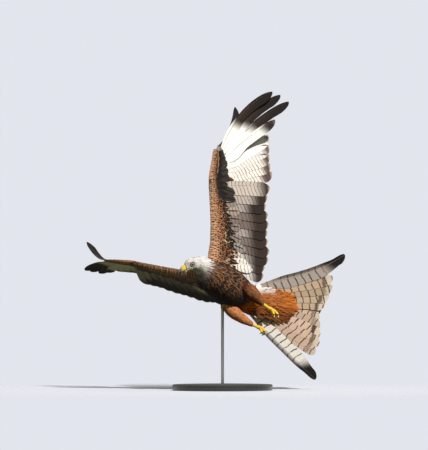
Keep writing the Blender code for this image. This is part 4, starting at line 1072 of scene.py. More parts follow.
def wing_core(pose, shrink):
    """Rings of the wing's flesh: the shoulder inside the body, the arm and the hand."""
    hand, hand_back, hand_up = wing_axes(*pose["hand"])
    share = np.linspace(0.0, 1.0, 12) ** 1.6
    rings = []
    for place, ahead, chord, thick in WING_CORE:
        arm, arm_back, arm_up = arm_axes(pose, place)
        lead = SHOULDER + place * pose["reach"] * arm - (ahead - 0.002) * arm_back
        rings.append(airfoil(lead, arm_back, arm_up, chord - 0.004, thick * shrink, share))
    for place, ahead, chord, thick in HAND_CORE:
        lead = wrist_of(pose) + place * HAND * hand - (ahead - 0.001) * hand_back
        rings.append(airfoil(lead, hand_back, hand_up, chord - 0.002, thick * shrink, share))
    rings = np.array(rings) * (1.0, pose["side"], 1.0)
    count = rings.shape[1]
    return curve_through(rings.reshape(len(rings), -1), 46).reshape(46, count, 3)


def wing_plan(pose):
    """The wing's plan, one entry a flight feather: its root and direction, the bone's point
    and the way back from it, and the flesh's reach ahead, chord and thickness there."""
    rows = secondaries(pose) + primaries(pose)
    keys = ("root", "along", "normal", "bone", "back", "length", "behind", "place", "bend",
            "power", "tilt")
    plan = {key: np.array([row.get(key, 2.0) for row in rows], float) for key in keys}
    for key in ("bone", "back", "normal"):
        for _ in range(2):
            inside = plan[key][1:-1] / 2.0 + (plan[key][:-2] + plan[key][2:]) / 4.0
            plan[key][9:14] = inside[8:13]
    core = np.array([(row[0] * 2 / 3, *row[1:]) for row in WING_CORE]
                    + [((2 + row[0]) / 3, *row[1:]) for row in HAND_CORE])
    for k, key in enumerate(("ahead", "chord", "thick")):
        plan[key] = np.interp(plan["place"], core[:, 0], core[:, k + 1])
    return plan


def plan_at(plan, number):
    """The plan between two flight feathers, or carried straight on past the end ones."""
    cell = np.clip(number.astype(int), 0, len(plan["place"]) - 2)
    share = number - cell
    return {key: value[cell] + (value[cell + 1] - value[cell])
            * (share[:, None] if value.ndim == 2 else share) for key, value in plan.items()}


def covert_row(at, face, root, way, length, lift, web, rng, **more):
    """Coverts on one face of the wing: each lies from its root's height on the flesh's section
    to its tip's, arched over the section between, and follows its flight feather's bend."""
    def section(distance):
        share = np.clip((distance + at["ahead"]) / at["chord"], 0.0, 3.0)
        half = at["thick"] / 2.0 * np.sqrt(share / 0.22) * np.exp(0.5 * (1.0 - share / 0.22))
        return (0.75 if face > 0 else 1.25) * half + 0.4 * MM

    def distance(point):
        return ((point - at["bone"]) * at["back"]).sum(-1)

    count = len(length)
    length = length * rng.uniform(0.86, 1.10, count)
    tip = root + way * length[:, None]
    low = section(distance(root)) - 0.9 * MM
    high = section(distance(tip)) + lift * rng.uniform(0.6, 1.3, count)
    middle = section(distance((root + tip) / 2.0)) + 0.5 * lift
    quill = np.clip(((tip - at["root"]) * at["along"]).sum(-1) / at["length"], 0.0, 1.0)
    climb = face * (high - low) + at["bend"] * quill ** at["power"]
    sway = 0.09 * rng.normal(0.0, 1.0, (count, 1)) * np.cross(way, at["normal"])
    return {
        "root": root + face * low[:, None] * at["normal"],
        "along": unit(way * length[:, None] + at["normal"] * climb[:, None]
                      + sway * length[:, None]),
        "normal": at["normal"], "length": length,
        "rise": face * np.maximum(middle - (low + high) / 2.0, 0.0), "lead": web * 0.48,
        "trail": web * 0.52, "tilt": at["tilt"], "tip_at": 0.50, "fill": 0.5, "quill": 0.45,
        "camber": 0.05 * face, "thick": 0.35 * MM, "rag": 0.08, "place": at["place"],
        "turn": rng.random(count), **more,
    }


def covert_rows(pose, face, rng):
    """The covert tiers of one face: greater and median ones along the quills, then rows of
    lesser ones square to the bones, which shorten towards the leading edge."""
    plan = wing_plan(pose)
    marks = over_marks if face > 0 else under_marks
    places = (0.0, 1 / 3, 2 / 3, 1.0)
    big = OVER_REACH if face > 0 else UNDER_REACH
    rows = []
    for kind, dense, start, reach, lift, web in (
        ("greater", 1.0, (0.050, 0.045, 0.030, 0.020), big[0], 0.6 * MM, 0.034),
        ("median", 1.7, (0.040, 0.036, 0.020, 0.012), big[1], 1.3 * MM, 0.023),
    ):
        number = np.arange(-1.5, len(plan["place"]) - 0.5, 1.0 / dense)
        at = plan_at(plan, number + rng.uniform(-0.15, 0.15, len(number)) / dense)
        begin, end = (np.interp(at["place"], places, v) for v in (start, reach))
        root = at["root"] + (begin - at["behind"])[:, None] * at["along"]
        rows.append(covert_row(at, face, root, at["along"], end - begin, lift, web, rng,
                               patch=covert_patch(at["place"], begin, face),
                               **marks(kind, at["place"], 1.0, rng)))
    run = np.concatenate([[0.0], np.cumsum(np.linalg.norm(np.diff(plan["bone"], axis=0), axis=1))])
    tiers = size("covert_tiers")
    for k in range(tiers):
        ahead = k / (tiers - 1)
        share = 0.96 - 0.92 * ahead
        web = size("covert_web") * (1.0 - 0.58 * ahead)
        spots = np.arange(-0.045 + 0.25 * web * (k % 2), run[-1] + 0.026, 0.5 * web)
        spots = spots + rng.uniform(-0.28, 0.28, len(spots)) * web
        number = np.interp(spots, run, np.arange(len(run)))
        number = number + np.minimum(spots, 0.0) / run[1]
        number = number + np.maximum(spots - run[-1], 0.0) / (run[-1] - run[-2])
        at = plan_at(plan, number)
        reach = np.interp(at["place"], places, big[1])
        past = at["root"] + (reach - at["behind"])[:, None] * at["along"]
        rear = ((past - at["bone"]) * at["back"]).sum(-1)
        tip = -at["ahead"] + (rear + at["ahead"]) * (share + rng.uniform(-0.02, 0.02, len(spots)))
        way = unit(at["along"] + 0.25 * at["back"])
        square = (way * at["back"]).sum(-1)
        length = size("covert_length") * (1.0 - 0.58 * ahead)
        length = length * (1.0 - 0.25 * smooth(2 / 3, 1.0, at["place"]))
        length = np.minimum(length, (tip + at["ahead"] + 0.0015) / square)
        root = at["bone"] + tip[:, None] * at["back"] - way * length[:, None]
        rows.append(covert_row(at, face, root, way, length, (1.3 - 0.7 * ahead) * MM, web, rng,
                               patch=covert_patch(at["place"], tip - length, face),
                               **marks("lesser", at["place"], share, rng)))
    return rows


def covert_patch(place, back, face):
    """A covert's spot on the wing skin's unwrap: the upper face above, the lower one below."""
    return np.stack([0.06 + 0.90 * place, 0.5 + face * (0.10 + 2.0 * (back + 0.03))],
                    -1).clip(0.005, 0.995)


def over_marks(kind, place, share, rng):
    """Colours of the upper coverts: rufous edges on dark centres, and a paler band where the
    median ones lie."""
    chance = rng.random(len(place))
    if kind == "greater":
        tint = mix(hue("brown"), hue("buff"), 0.05 + 0.09 * chance)
        core, streak = mix(hue("black"), hue("brown"), 0.4), 0.72
    elif kind == "median":
        tint = mix(hue("rufous"), hue("buff"), 0.05 + 0.25 * chance)
        core, streak = mix(hue("brown"), hue("rufous"), 0.15), 0.55
    else:
        tint = mix(mix(hue("rufous"), hue("buff"), 0.45 * share**2), hue("belly"), 0.5 * chance)
        core, streak = hue("black"), 0.48 + 0.15 * share
    dull = smooth(0.70, 0.92, place)
    return {"tint": mix(tint, hue("brown"), 0.75 * dull), "core": core, "streak": streak}


def under_marks(kind, place, share, rng):
    """Colours of the lower coverts: orange with fine dark flecks along the front, black behind
    the wrist, rufous with black centres and scattered white ones along the arm, and white
    barred ones near the body."""
    chance = rng.random(len(place))
    hand = smooth(0.46, 0.55, place)
    inner = smooth(0.22, 0.04, place)
    window = smooth(0.955, 1.02, place)
    bare = (chance > 0.97) * (1.0 - window)
    if kind == "greater":
        tint = mix(mix(hue("grey"), hue("white"), 0.25 * chance), hue("white"), 0.95 * inner)
        tint = mix(mix(tint, hue("buff"), 0.2 * rng.random(len(place))), hue("black"), 0.92 * hand)
        tint = mix(tint, hue("white"), np.maximum(0.9 * window, 0.6 * bare * hand))
        return {"tint": tint, "core": mix(hue("black"), hue("grey"), 0.8 * window),
                "streak": 0.18 * (1.0 - inner) * (1.0 - window), "bars": 0.9 * (1.0 - hand),
                "tip_at": 0.72}
    if kind == "median":
        tint = mix(mix(hue("rufous"), hue("vent"), 0.4 * chance), hue("white"), 0.75 * (chance > 0.8))
        tint = mix(tint, hue("black"), 0.95 * hand * (1.0 - window) * (1.0 - bare))
        tint = mix(tint, hue("white"), 0.7 * inner * (chance > 0.4))
        return {"tint": tint, "core": hue("black"),
                "streak": (0.90 - 0.40 * inner) * (1.0 - 0.7 * bare)}
    rust = mix(hue("vent"), hue("rufous"), 0.5 + 0.5 * chance)
    rust = mix(rust, hue("belly"), np.maximum(0.6 * smooth(0.3, 1.0, share), 0.35 * hand))
    rust = mix(rust, hue("cream"), 0.45 * smooth(0.5, 0.0, share))
    pale = (chance > 0.85) * smooth(0.42, 0.60, share) * (1.0 - 0.8 * hand)
    night = hand * smooth(0.28, 0.48, share) * (1.0 - pale)
    tint = mix(mix(rust, hue("cream"), 0.85 * pale), hue("black"), 0.93 * night)
    streak = 0.34 + 0.54 * smooth(0.0, 0.5, share) - 0.5 * pale
    return {"tint": tint, "core": mix(hue("black"), hue("brown"), 0.15), "streak": streak}


OVER_REACH = ((0.150, 0.140, 0.118, 0.108), (0.105, 0.095, 0.078, 0.070))
UNDER_REACH = ((0.155, 0.132, 0.100, 0.078), (0.112, 0.096, 0.072, 0.056))
FLIGHT_STATIONS = np.concatenate([np.linspace(0.0, 0.7, 26), np.linspace(0.73, 0.96, 10),
                                  (0.98, 0.993, 1.0)])
COVERT_STATIONS = np.array((0.0, 0.3, 0.6, 0.85, 1.0))
BIG_STATIONS = np.array((0.0, 0.2, 0.4, 0.6, 0.75, 0.88, 0.96, 1.0))


def build_wing(name):
    """One wing: quills with their shafts, the thumb's feathers, and coverts on both faces."""
    pose = POSE[name]
    rng = np.random.default_rng(11 if name == "left" else 12)
    flight = secondaries(pose) + primaries(pose)
    for row in flight:
        row["side"] = pose["side"]
        row["turn"] = rng.random()
    quills = vanes("quills_" + name, flight, FLIGHT_STATIONS, 7, flight_paint, True)
    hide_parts("wing_" + name)

    def tone(f, s):
        pale = smooth(0.55, 0.30, s) + 0.0 * f["primary"][:, None]
        bright = mix(hue("buff"), hue("white"), 0.3)
        return mix(mix(hue("black"), hue("brown"), 0.5), bright, 0.7 * pale)

    ribs = shafts("shafts_" + name, flight, FLIGHT_STATIONS, 0.0036, tone)
    vanes("thumb_" + name, thumb(pose), BIG_STATIONS, 5, strips=True, seed=2)
    for word, face in (("over", 1.0), ("under", -1.0)):
        rows = covert_rows(pose, face, rng)
        for row in rows:
            row["side"] = pose["side"]
        big = vanes(f"great_coverts_{word}_{name}", rows[:2], BIG_STATIONS, 5, seed=3)
        small = vanes(f"coverts_{word}_{name}", rows[2:], COVERT_STATIONS, 3, seed=4)


def tail_feathers(rng):
    """The tail feathers of both sides, from the middle pair outward."""
    back, left, up = tail_frame()
    rows = []
    for side, (middle, low, bowed) in TAIL_SIDES.items():
        for k, (spread, length, bow) in enumerate(zip(TAIL_SPREAD, TAIL_LENGTH, TAIL_BOW)):
            angle = math.radians(spread) * side
            outermost = k == len(TAIL_SPREAD) - 1
            outer, inner = TAIL_WEBS[2 if outermost else min(k, 1)]
            lift = low if k else middle
            rows.append({
                "root": TAIL_AT + 0.010 * back + 0.0078 * (k + 0.5) * side * left,
                "along": math.cos(angle) * back + math.sin(angle) * left, "normal": up,
                "length": length, "bow": side * bow * bowed, "tilt": 0.045 * side if k else 0.0,
                "lead": outer if side > 0.0 else inner, "trail": inner if side > 0.0 else outer,
                "tip": 0.25, "tip_at": 0.93, "camber": 0.008, "slot": 0.35 if outermost else 0.0,
                "slot_at": 0.72, "thick": 0.35 * MM,
                "lift": lift, "rise": lift, "primary": k, "place": side, "turn": rng.random(),
                "rag": 0.05,
            })
    return rows


def tail_covert_rows(rng):
    """Long soft coverts over and under the tail's root, in tiers that shorten forwards: each
    runs from its root's height above the tail's middle to its tip's, spread like the tail."""
    back, left, up = tail_frame()
    rows = []
    for face, count, start, tip, height, width, fan_out, tone in (
        (-1.0, 20, 0.105, 0.196, (0.012, 0.0068), 0.0085, 15.0, 0.0),
        (-1.0, 24, 0.088, 0.182, (0.014, 0.0085), 0.0075, 16.0, 0.0),
        (-1.0, 26, 0.072, 0.166, (0.017, 0.0105), 0.0072, 17.0, 0.1),
        (-1.0, 26, 0.056, 0.149, (0.020, 0.0130), 0.0070, 18.0, 0.2),
        (-1.0, 26, 0.041, 0.132, (0.024, 0.0160), 0.0068, 19.0, 0.3),
        (-1.0, 25, 0.027, 0.115, (0.028, 0.0195), 0.0066, 20.0, 0.4),
        (-1.0, 24, 0.014, 0.098, (0.032, 0.0240), 0.0066, 20.0, 0.4),
        (-1.0, 22, 0.002, 0.082, (0.035, 0.0285), 0.0066, 20.0, 0.4),
        (1.0, 17, 0.055, 0.150, (0.013, 0.0055), 0.0105, 15.0, 0.6),
        (1.0, 16, 0.035, 0.115, (0.020, 0.0110), 0.0105, 17.0, 0.7),
        (1.0, 15, 0.015, 0.085, (0.028, 0.0180), 0.0105, 18.0, 0.8),
    ):
        share = np.linspace(-1.0, 1.0, count) + rng.uniform(-0.5, 0.5, count) / count
        angle = np.radians(fan_out * share)
        low = height[0] * (1.0 - 0.35 * share**2)
        chance = rng.random(count)
        root = (TAIL_AT + start * back + 0.024 * share[:, None] * left
                + (face * (low - 2.0 * MM))[:, None] * up)
        end = (TAIL_AT + ((tip - 0.030 * np.abs(share) + 0.016 * (chance - 0.5)))[:, None] * back
               + (0.024 * share + (tip - start) * np.tan(angle))[:, None] * left
               + (face * (height[1] + 1.2 * MM * chance))[:, None] * up)
        # Painted shade: the lower coverts darken towards the belly colour on the right side, which lies in
        # shade. Each covert also gets a random darkening.
        shade = 0.60 * smooth(0.2, -0.6, share) * (face < 0) + 0.30 * rng.random(count)
        tint = mix(hue("vent"), mix(hue("rufous"), hue("belly"), 0.3), tone)
        patch = smooth(0.55, 0.85, share) * smooth(0.045, 0.015, start) * (face < 0)
        rows.append({
            "root": root, "along": end - root, "normal": face * up,
            "length": np.linalg.norm(end - root, axis=1), "lead": width, "trail": width,
            "tip_at": 0.30, "fill": 0.5, "quill": 0.4, "camber": 0.07, "thick": 0.35 * MM,
            "rag": 0.20, "rise": 1.5 * MM, "turn": chance,
            "tint": mix(mix(tint, hue("belly"), shade), hue("white"), 0.85 * patch),
            "core": hue("belly") if face < 0 else hue("brown"),
            "streak": (0.10 if face < 0 else 0.35) * (1.0 - patch),
            "patch": np.stack([0.5 + 0.4 * share, np.full(count, 0.5 + face * (0.05 + start * 2))],
                              -1).clip(0.005, 0.995),
        })
    return rows


def build_tail():
    """The tail: its feathers, their shafts and the coverts at its root."""
    rng = np.random.default_rng(21)
    rows = tail_feathers(rng)
    quills = vanes("tail_quills", rows, FLIGHT_STATIONS, 7, tail_paint, True, 5,
                   "tail_plumage")
    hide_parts("tail")

    def tone(f, s):
        return np.broadcast_to(mix(hue("buff"), hue("brown"), 0.35 + 0.3 * smooth(0.5, 1.0, s)),
                               (len(f["length"]), len(s), 3))

    shafts("tail_shafts", rows, FLIGHT_STATIONS, 0.0036, tone)
    coverts = vanes("tail_coverts", tail_covert_rows(rng), BIG_STATIONS, 5, seed=6)


def body_rows(first, last, long, wide, gap, rng, stand, lift):
    """Rows of feathers round the body between two runs along it, half a step apart from row to
    row; long, wide, gap and stand give each row's feather by its run."""
    rows = []
    run, odd = first, 0.0
    while run < last:
        ring = body_point(run, np.linspace(0.0, 2.0 * math.pi, 49))
        around = np.linalg.norm(np.diff(ring, axis=0), axis=1).sum()
        count = max(8, int(around / (gap(run) * 0.95)))
        angle = (np.arange(count) + odd + rng.uniform(-0.22, 0.22, count)) * 2.0 * math.pi / count
        at = run + rng.uniform(-0.25, 0.25, count) * gap(run)
        behind, normal = body_axes(at, angle)
        point = body_point(at, angle)
        length = long(run) * rng.uniform(0.88, 1.12, count)
        tint, core, streak = body_marks(point, angle)
        flank = smooth(0.0, -0.03, point[:, 1:2]) * smooth(0.05, -0.01, point[:, :1])
        out = np.radians(stand + 9.0 * flank)
        sway = rng.normal(0.0, 0.07, count)[:, None] * np.cross(behind, normal)
        rows.append({
            "root": point + normal * lift, "along": unit(behind + sway) * np.cos(out)
            + normal * np.sin(out), "normal": normal, "length": length, "bend": -length * 0.10,
            "lead": wide(run) / 2, "trail": wide(run) / 2, "tip_at": 0.5, "fill": 0.5, "quill": 0.35,
            "camber": 0.12, "thick": 0.3 * MM, "rag": 0.10, "turn": rng.random(count),
            "tint": tint, "core": core, "streak": streak * rng.uniform(0.7, 1.25, count),
            "patch": np.stack([(angle / (2 * math.pi)) % 1.0 * 0.98 + 0.01,
                               np.full(count, 0.01 + 0.98 * run / BODY_RUN[-1])], -1),
            "point": run,
        })
        run += gap(run) * 0.85
        odd = 0.5 - odd
    return rows


def clear_of_eyes(rows):
    """Leaves out the feathers that would root in an eye's opening."""
    kept = []
    forward, side, top = head_frame()
    for row in rows:
        own = np.stack([(row["root"] - HEAD_AT) @ axis for axis in (forward, side, top)], -1)
        radius = np.hypot(own[:, 0], own[:, 2])
        keep = (radius > 0.0082) | (np.abs(own[:, 1]) < 0.010)
        count = len(own)
        kept.append({key: (np.asarray(value)[keep] if np.ndim(value) and len(value) == count
                           else value) for key, value in row.items()})
    return [row for row in kept if len(row["root"])]


THIGH_RADII = {"left": (0.018, 0.025, 0.028, 0.020, 0.0085),
               "right": (0.015, 0.021, 0.0245, 0.018, 0.0085)}


def thigh_path(name):
    """A thigh's middle line and its radii."""
    hip, knee, ankle, _ = (np.array(p) for p in LEGS[name])
    path = bezier((hip, knee, ankle), 40)
    radii = np.interp(np.linspace(0, 1, 40), (0, 0.14, 0.3, 0.65, 1), THIGH_RADII[name])
    return path, radii


def thigh_rows(name, rng):
    """Loose feathers in rows down a thigh, with painted shade on the side away from the light and over the
    whole left thigh, and a painted highlight in cream near the right thigh's hip.
    """
    path, radii = thigh_path(name)
    along = unit(np.gradient(path, axis=0))
    side = unit(np.cross(along, (0.1, 0.3, 1.0)))
    up = np.cross(along, side)
    rows = []
    for k, at in enumerate(np.arange(-3.05, 37.0, 1.35)):
        cell = max(int(at), 0)
        cap = max(-at / 4.0, 0.0)
        radius = radii[cell] * math.sqrt(1.0 - cap * cap)
        count = max(8, int(2 * math.pi * radius / 0.0056))
        angle = (np.arange(count) + 0.5 * (k % 2) + rng.uniform(-0.2, 0.2, count)) * 2 * math.pi / count
        normal = np.outer(np.cos(angle), side[cell]) + np.outer(np.sin(angle), up[cell])
        chance = rng.random(count)
        # Painted shade: below grows on the feathers that face away from the light.
        below = smooth(0.1, -0.8, normal @ unit((0.2, 0.55, -0.1) if name == "right" else (0.0, 1.0, 0.3)))
        # Near the hip, front adds painted shade on the left thigh and a painted highlight in cream on the
        # right one.
        front = 0.6 * math.exp(-max(at, 0.0) / 8.0)
        tint = mix(hue("vent"), mix(hue("rufous"), hue("cream"), 0.3), 0.1 + 0.6 * rng.random(count))
        # Painted shade towards the belly colour: over the whole left thigh, which lies in shade, and on each
        # thigh's side away from the light. A random share is added for each feather.
        dark = front + 0.50 * below + 0.36 if name == "left" else 0.45 * below - 0.3
        tint = mix(tint, hue("cream"), 0.5 * front if name == "right" else 0.0)
        length = size("thigh") * (1.0 - 0.45 * at / 37.0) * rng.uniform(0.8, 1.2, count)
        rows.append({
            "root": path[cell] + normal * (radius - 3.0 * MM) - 0.004 * cap * along[cell],
            "along": along[cell] + (0.12 + 1.2 * cap) * normal + 0.08 * rng.normal(0, 1, (count, 1))
            * np.cross(along[cell], normal), "normal": normal, "length": length,
            "bend": -0.12 * length, "lead": 0.0046, "trail": 0.0046, "tip_at": 0.5, "fill": 0.5,
            "quill": 0.35, "camber": 0.12, "thick": 0.3 * MM, "rag": 0.12, "turn": chance,
            "tint": mix(tint, hue("belly"), (dark + 0.35 * rng.random(count)).clip(0, 1)),
            "core": hue("belly"), "streak": 0.35 * rng.random(count),
            "patch": np.stack([(angle / (2 * math.pi)) % 1.0 * 0.45 + (0.02 if name == "left" else 0.5),
                               np.full(count, 0.02 + 0.9 * at / 37.0)], -1),
        })
    return rows


def build_skin():
    """One skin under the whole coat: the tube of tail root, torso, neck and head, with the
    thighs and the wings' flesh melted into it by a voxel remesh and smoothed."""
    run = np.linspace(0.0, BODY_RUN[-1], 150)[:, None]
    angle = np.arange(48)[None] * 2.0 * math.pi / 48
    depth = 4.0 * MM * (1.0 - smooth(0.29, 0.36, run)) + 1.0 * MM
    shapes = [closed_loft(body_point(run, angle, -depth))]
    for name in ("left", "right"):
        path, radii = thigh_path(name)
        shapes.append(closed_loft(round_rings(path, radii - 4.0 * MM * (radii > 0.012), 20)))
        shapes.append(closed_loft(wing_core(POSE[name], 0.82)))
    points, triangles = joined(shapes)
    skin = put_mesh("skin", placed(points), triangles, material_of("skin"))
    melt = skin.modifiers.new("Melt", "REMESH")
    melt.mode = "VOXEL"
    melt.voxel_size = 0.0022
    melt.use_smooth_shade = True
    even = skin.modifiers.new("Even", "SMOOTH")
    even.factor = 0.5
    even.iterations = 6
    graph = bpy.context.evaluated_depsgraph_get()
    skin.data = bpy.data.meshes.new_from_object(skin.evaluated_get(graph))
    skin.modifiers.clear()
    skin.data.name = "skin"
    count = len(skin.data.vertices)
    where = np.empty(count * 3, np.float32)
    skin.data.vertices.foreach_get("co", where)
    own = (where.reshape(-1, 3) - PLACED[:3, 3]) @ PLACED[:3, :3]
    # The skin takes the body feathers' colours, with their painted light on the left side and painted shade
    # on the right.
    tint, core, _ = body_marks(own, np.arctan2(own[:, 2], own[:, 1]))
    set_colour(skin, "tint", mix(tint, core, np.full(count, 0.5)), "POINT")
    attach(skin, "root")
    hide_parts("torso", "neck", "head", "thigh_left", "thigh_right")


def build_coat():
    """The body's contour feathers: long and loose on the vent, broad on the breast, narrow
    hackles on the neck and tiny ones on the face."""
    rng = np.random.default_rng(31)
    end = BODY_RUN[-1]
    neck = np.interp(0.105, BODY[180:, 0], BODY_RUN[180:])
    breast, hackle = size("breast"), size("hackle")

    def long(run):
        return float(np.interp(run, (0, 0.10, neck - 0.03, neck + 0.01, end - 0.045, end - 0.02, end),
                               (1.30 * breast, 1.15 * breast, breast, 0.87 * breast, hackle,
                                0.5 * hackle, size("down"))))

    def wide(run):
        return float(np.interp(run, (0, neck - 0.02, neck + 0.012, end - 0.045, end - 0.02, end),
                               (0.0150, 0.0118, 0.0070, 0.0036, 0.0026, 0.0017)))

    def gap(run):
        return float(np.interp(run, (0, neck - 0.02, neck + 0.012, end - 0.045, end - 0.02, end),
                               (0.0092, 0.0080, 0.0052, 0.0026, 0.0018, 0.0013)))

    rows = body_rows(0.03, neck - 0.005, long, wide, gap, rng, 7.0, -3.2 * MM)
    coat = vanes("coat_body", rows, COVERT_STATIONS, 3, seed=7)
    rows = clear_of_eyes(body_rows(neck - 0.005, end - 0.0005, long, wide, gap, rng, 6.0, -0.7 * MM))
    head = vanes("coat_head", rows, COVERT_STATIONS, 3, seed=8)
    rows = thigh_rows("left", rng) + thigh_rows("right", rng)
    thighs = vanes("coat_thighs", rows, COVERT_STATIONS, 3, seed=9)


def shell(name, shapes, shares, look, slot, *nodes):
    """A smooth piece of several closed shapes with its own map of shares."""
    points, triangles = joined(shapes)
    piece = put_mesh(name, placed(points), triangles, material_of(look))
    set_map(piece, "share", np.concatenate(shares)[triangles.ravel()])
    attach(piece, "root")
    if nodes:
        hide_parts(*nodes)
    return piece


def ring_shares(rings):
    """For each point of a tube's rings, its share round and its share along."""
    rows, columns = rings.shape[:2]
    v, u = np.meshgrid(np.linspace(0, 1, rows), np.arange(columns) / columns, indexing="ij")
    return np.stack([u, v], -1).reshape(-1, 2)


def build_eyes():
    """Each eye: a ball turned round its own axis of sight, in a dark rim of bare skin with an
    upper and a lower lid."""
    for word, side in (("left", 1.0), ("right", -1.0)):
        polar = np.linspace(0.02, math.pi - 0.02, 30)[:, None]
        turn = np.arange(40)[None] * 2.0 * math.pi / 40
        bulge = 1.0 + 0.0 * polar
        x = size("eye") * bulge * np.sin(polar) * np.cos(turn)
        z = size("eye") * bulge * np.sin(polar) * np.sin(turn)
        y = side * (EYE_SIDE + size("eye") * bulge * np.cos(polar)) + 0.0 * turn
        rings = head_point(x, y, z)
        shell("eyeball_" + word, [closed_loft(rings)], [ring_shares(rings)], "eye", "eye",
              "eye_" + word)
        angle = np.arange(64) * 2.0 * math.pi / 64
        ring = np.arange(12) * 2.0 * math.pi / 12
        upper = smooth(-0.2, 0.9, np.sin(angle))
        radius = size("lid") - 0.0004 * upper
        reach = 1.25 * MM + 0.55 * MM * upper + 0.25 * MM * np.cos(2 * angle) ** 2
        out = radius[:, None] + reach[:, None] * np.cos(ring)[None]
        rim = side * (LID_SIDE + 0.0004 + 1.3 * MM * np.sin(ring)[None]
                      + 0.0006 * upper[:, None] - 0.0008 * np.cos(angle)[:, None] ** 2)
        points = head_point(out * np.cos(angle)[:, None], rim, out * np.sin(angle)[:, None] * 0.94)
        triangles = grid_triangles(65, 12) % (64 * 12)
        flat = points.reshape(-1, 3)
        if side < 0:
            triangles = triangles[:, ::-1]
        lids = put_mesh("lids_" + word, placed(flat), triangles, material_of("rim"))
        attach(lids, "root")


def bill_rings(table, rows, sides):
    """Upright slices of the bill between its culmen and its cutting edge: a half round above
    that narrows to the edge below, with the hook drawn down at the end."""
    _, left, _ = head_frame()
    table = curve_through(table, rows)
    top, low = (head_point(table[:, k], 0.0 * table[:, 0], table[:, k + 1]) for k in (0, 2))
    angle = np.arange(sides) * 2.0 * math.pi / sides
    rise = np.sign(np.sin(angle)) * np.abs(np.sin(angle)) ** np.where(angle > math.pi, 0.5, 1.0)
    half = (top - low)[:, None] / 2.0
    return ((top + low)[:, None] / 2.0 + rise[:, None] * half
            + np.maximum(table[:, 4], 0.0005)[:, None, None] * np.cos(angle)[:, None] * left)


def build_bill():
    """Cere with sunk nostrils and a soft step to the horn, hooked upper and short lower bill,
    and the yellow gape that runs back under the eye."""
    forward, left, up = head_frame()
    rings = bill_rings(BILL, 61, 32)
    split = 20
    cere = rings[:split + 1].copy()
    own = np.stack([(cere - HEAD_AT) @ axis for axis in (forward, left, up)], -1)
    swell = 0.5 * MM * np.sin(np.linspace(0.0, math.pi, split + 1)) ** 0.5
    pit = np.exp(-((own[..., 0] - NOSTRIL[0]) / 0.0012) ** 2
                 - ((own[..., 2] - NOSTRIL[1]) / 0.0019) ** 2)
    cere += left * (np.sign(own[..., 1]) * (swell[:, None] * np.abs(own[..., 1]) / 0.0112
                                            - 1.6 * MM * pit * (np.abs(own[..., 1]) > 0.003)))[..., None]
    shell("cere_skin", [closed_loft(cere)], [ring_shares(cere)], "cere", "cere", "cere")
    slits, slit_shares = [], []
    flat = cere.reshape(-1, 3)
    own = np.stack([(flat - HEAD_AT) @ axis for axis in (forward, left, up)], -1)
    for side in (1.0, -1.0):
        far = np.hypot(own[:, 0] - NOSTRIL[0], own[:, 2] - NOSTRIL[1]) + 1.0 * (own[:, 1] * side < 0.003)
        x, y, z = own[np.argmin(far)]
        polar = np.linspace(0.05, math.pi - 0.05, 12)[:, None]
        turn = np.arange(14)[None] * 2.0 * math.pi / 14
        slit = head_point(x + 1.0 * MM * np.sin(polar) * np.cos(turn),
                          y + 0.9 * MM * np.sin(polar) * np.sin(turn),
                          z + 2.0 * MM * np.cos(polar) + 0.0 * turn)
        slits.append(closed_loft(slit))
        slit_shares.append(ring_shares(slit))
    shell("nostrils", slits, slit_shares, "claw", "cere")
    upper = rings[split:]
    shell("bill_horn", [closed_loft(upper)], [ring_shares(upper)], "bill", "bill", "bill_upper")
    lower = bill_rings(LOWER_BILL, 24, 24)
    shell("bill_below", [closed_loft(lower)], [ring_shares(lower)], "bill", "bill", "bill_lower")
    shapes, shares = [], []
    for side in (1.0, -1.0):
        x = np.array((0.0275, 0.0228, 0.0170, 0.0115, 0.0070))
        y = np.array((0.0094, 0.0104, 0.0143, 0.0170, 0.0183)) * side
        z = np.array((-0.0130, -0.0131, -0.0134, -0.0130, -0.0120))
        path = curve_through(head_point(x, y, z), 30)
        radius = 0.95 * MM * np.sqrt(np.linspace(1.0, 0.04, 30))
        tube = round_rings(path, radius, 10)
        shapes.append(closed_loft(tube))
        shares.append(ring_shares(tube))
    shell("gape", shapes, shares, "cere", "cere")


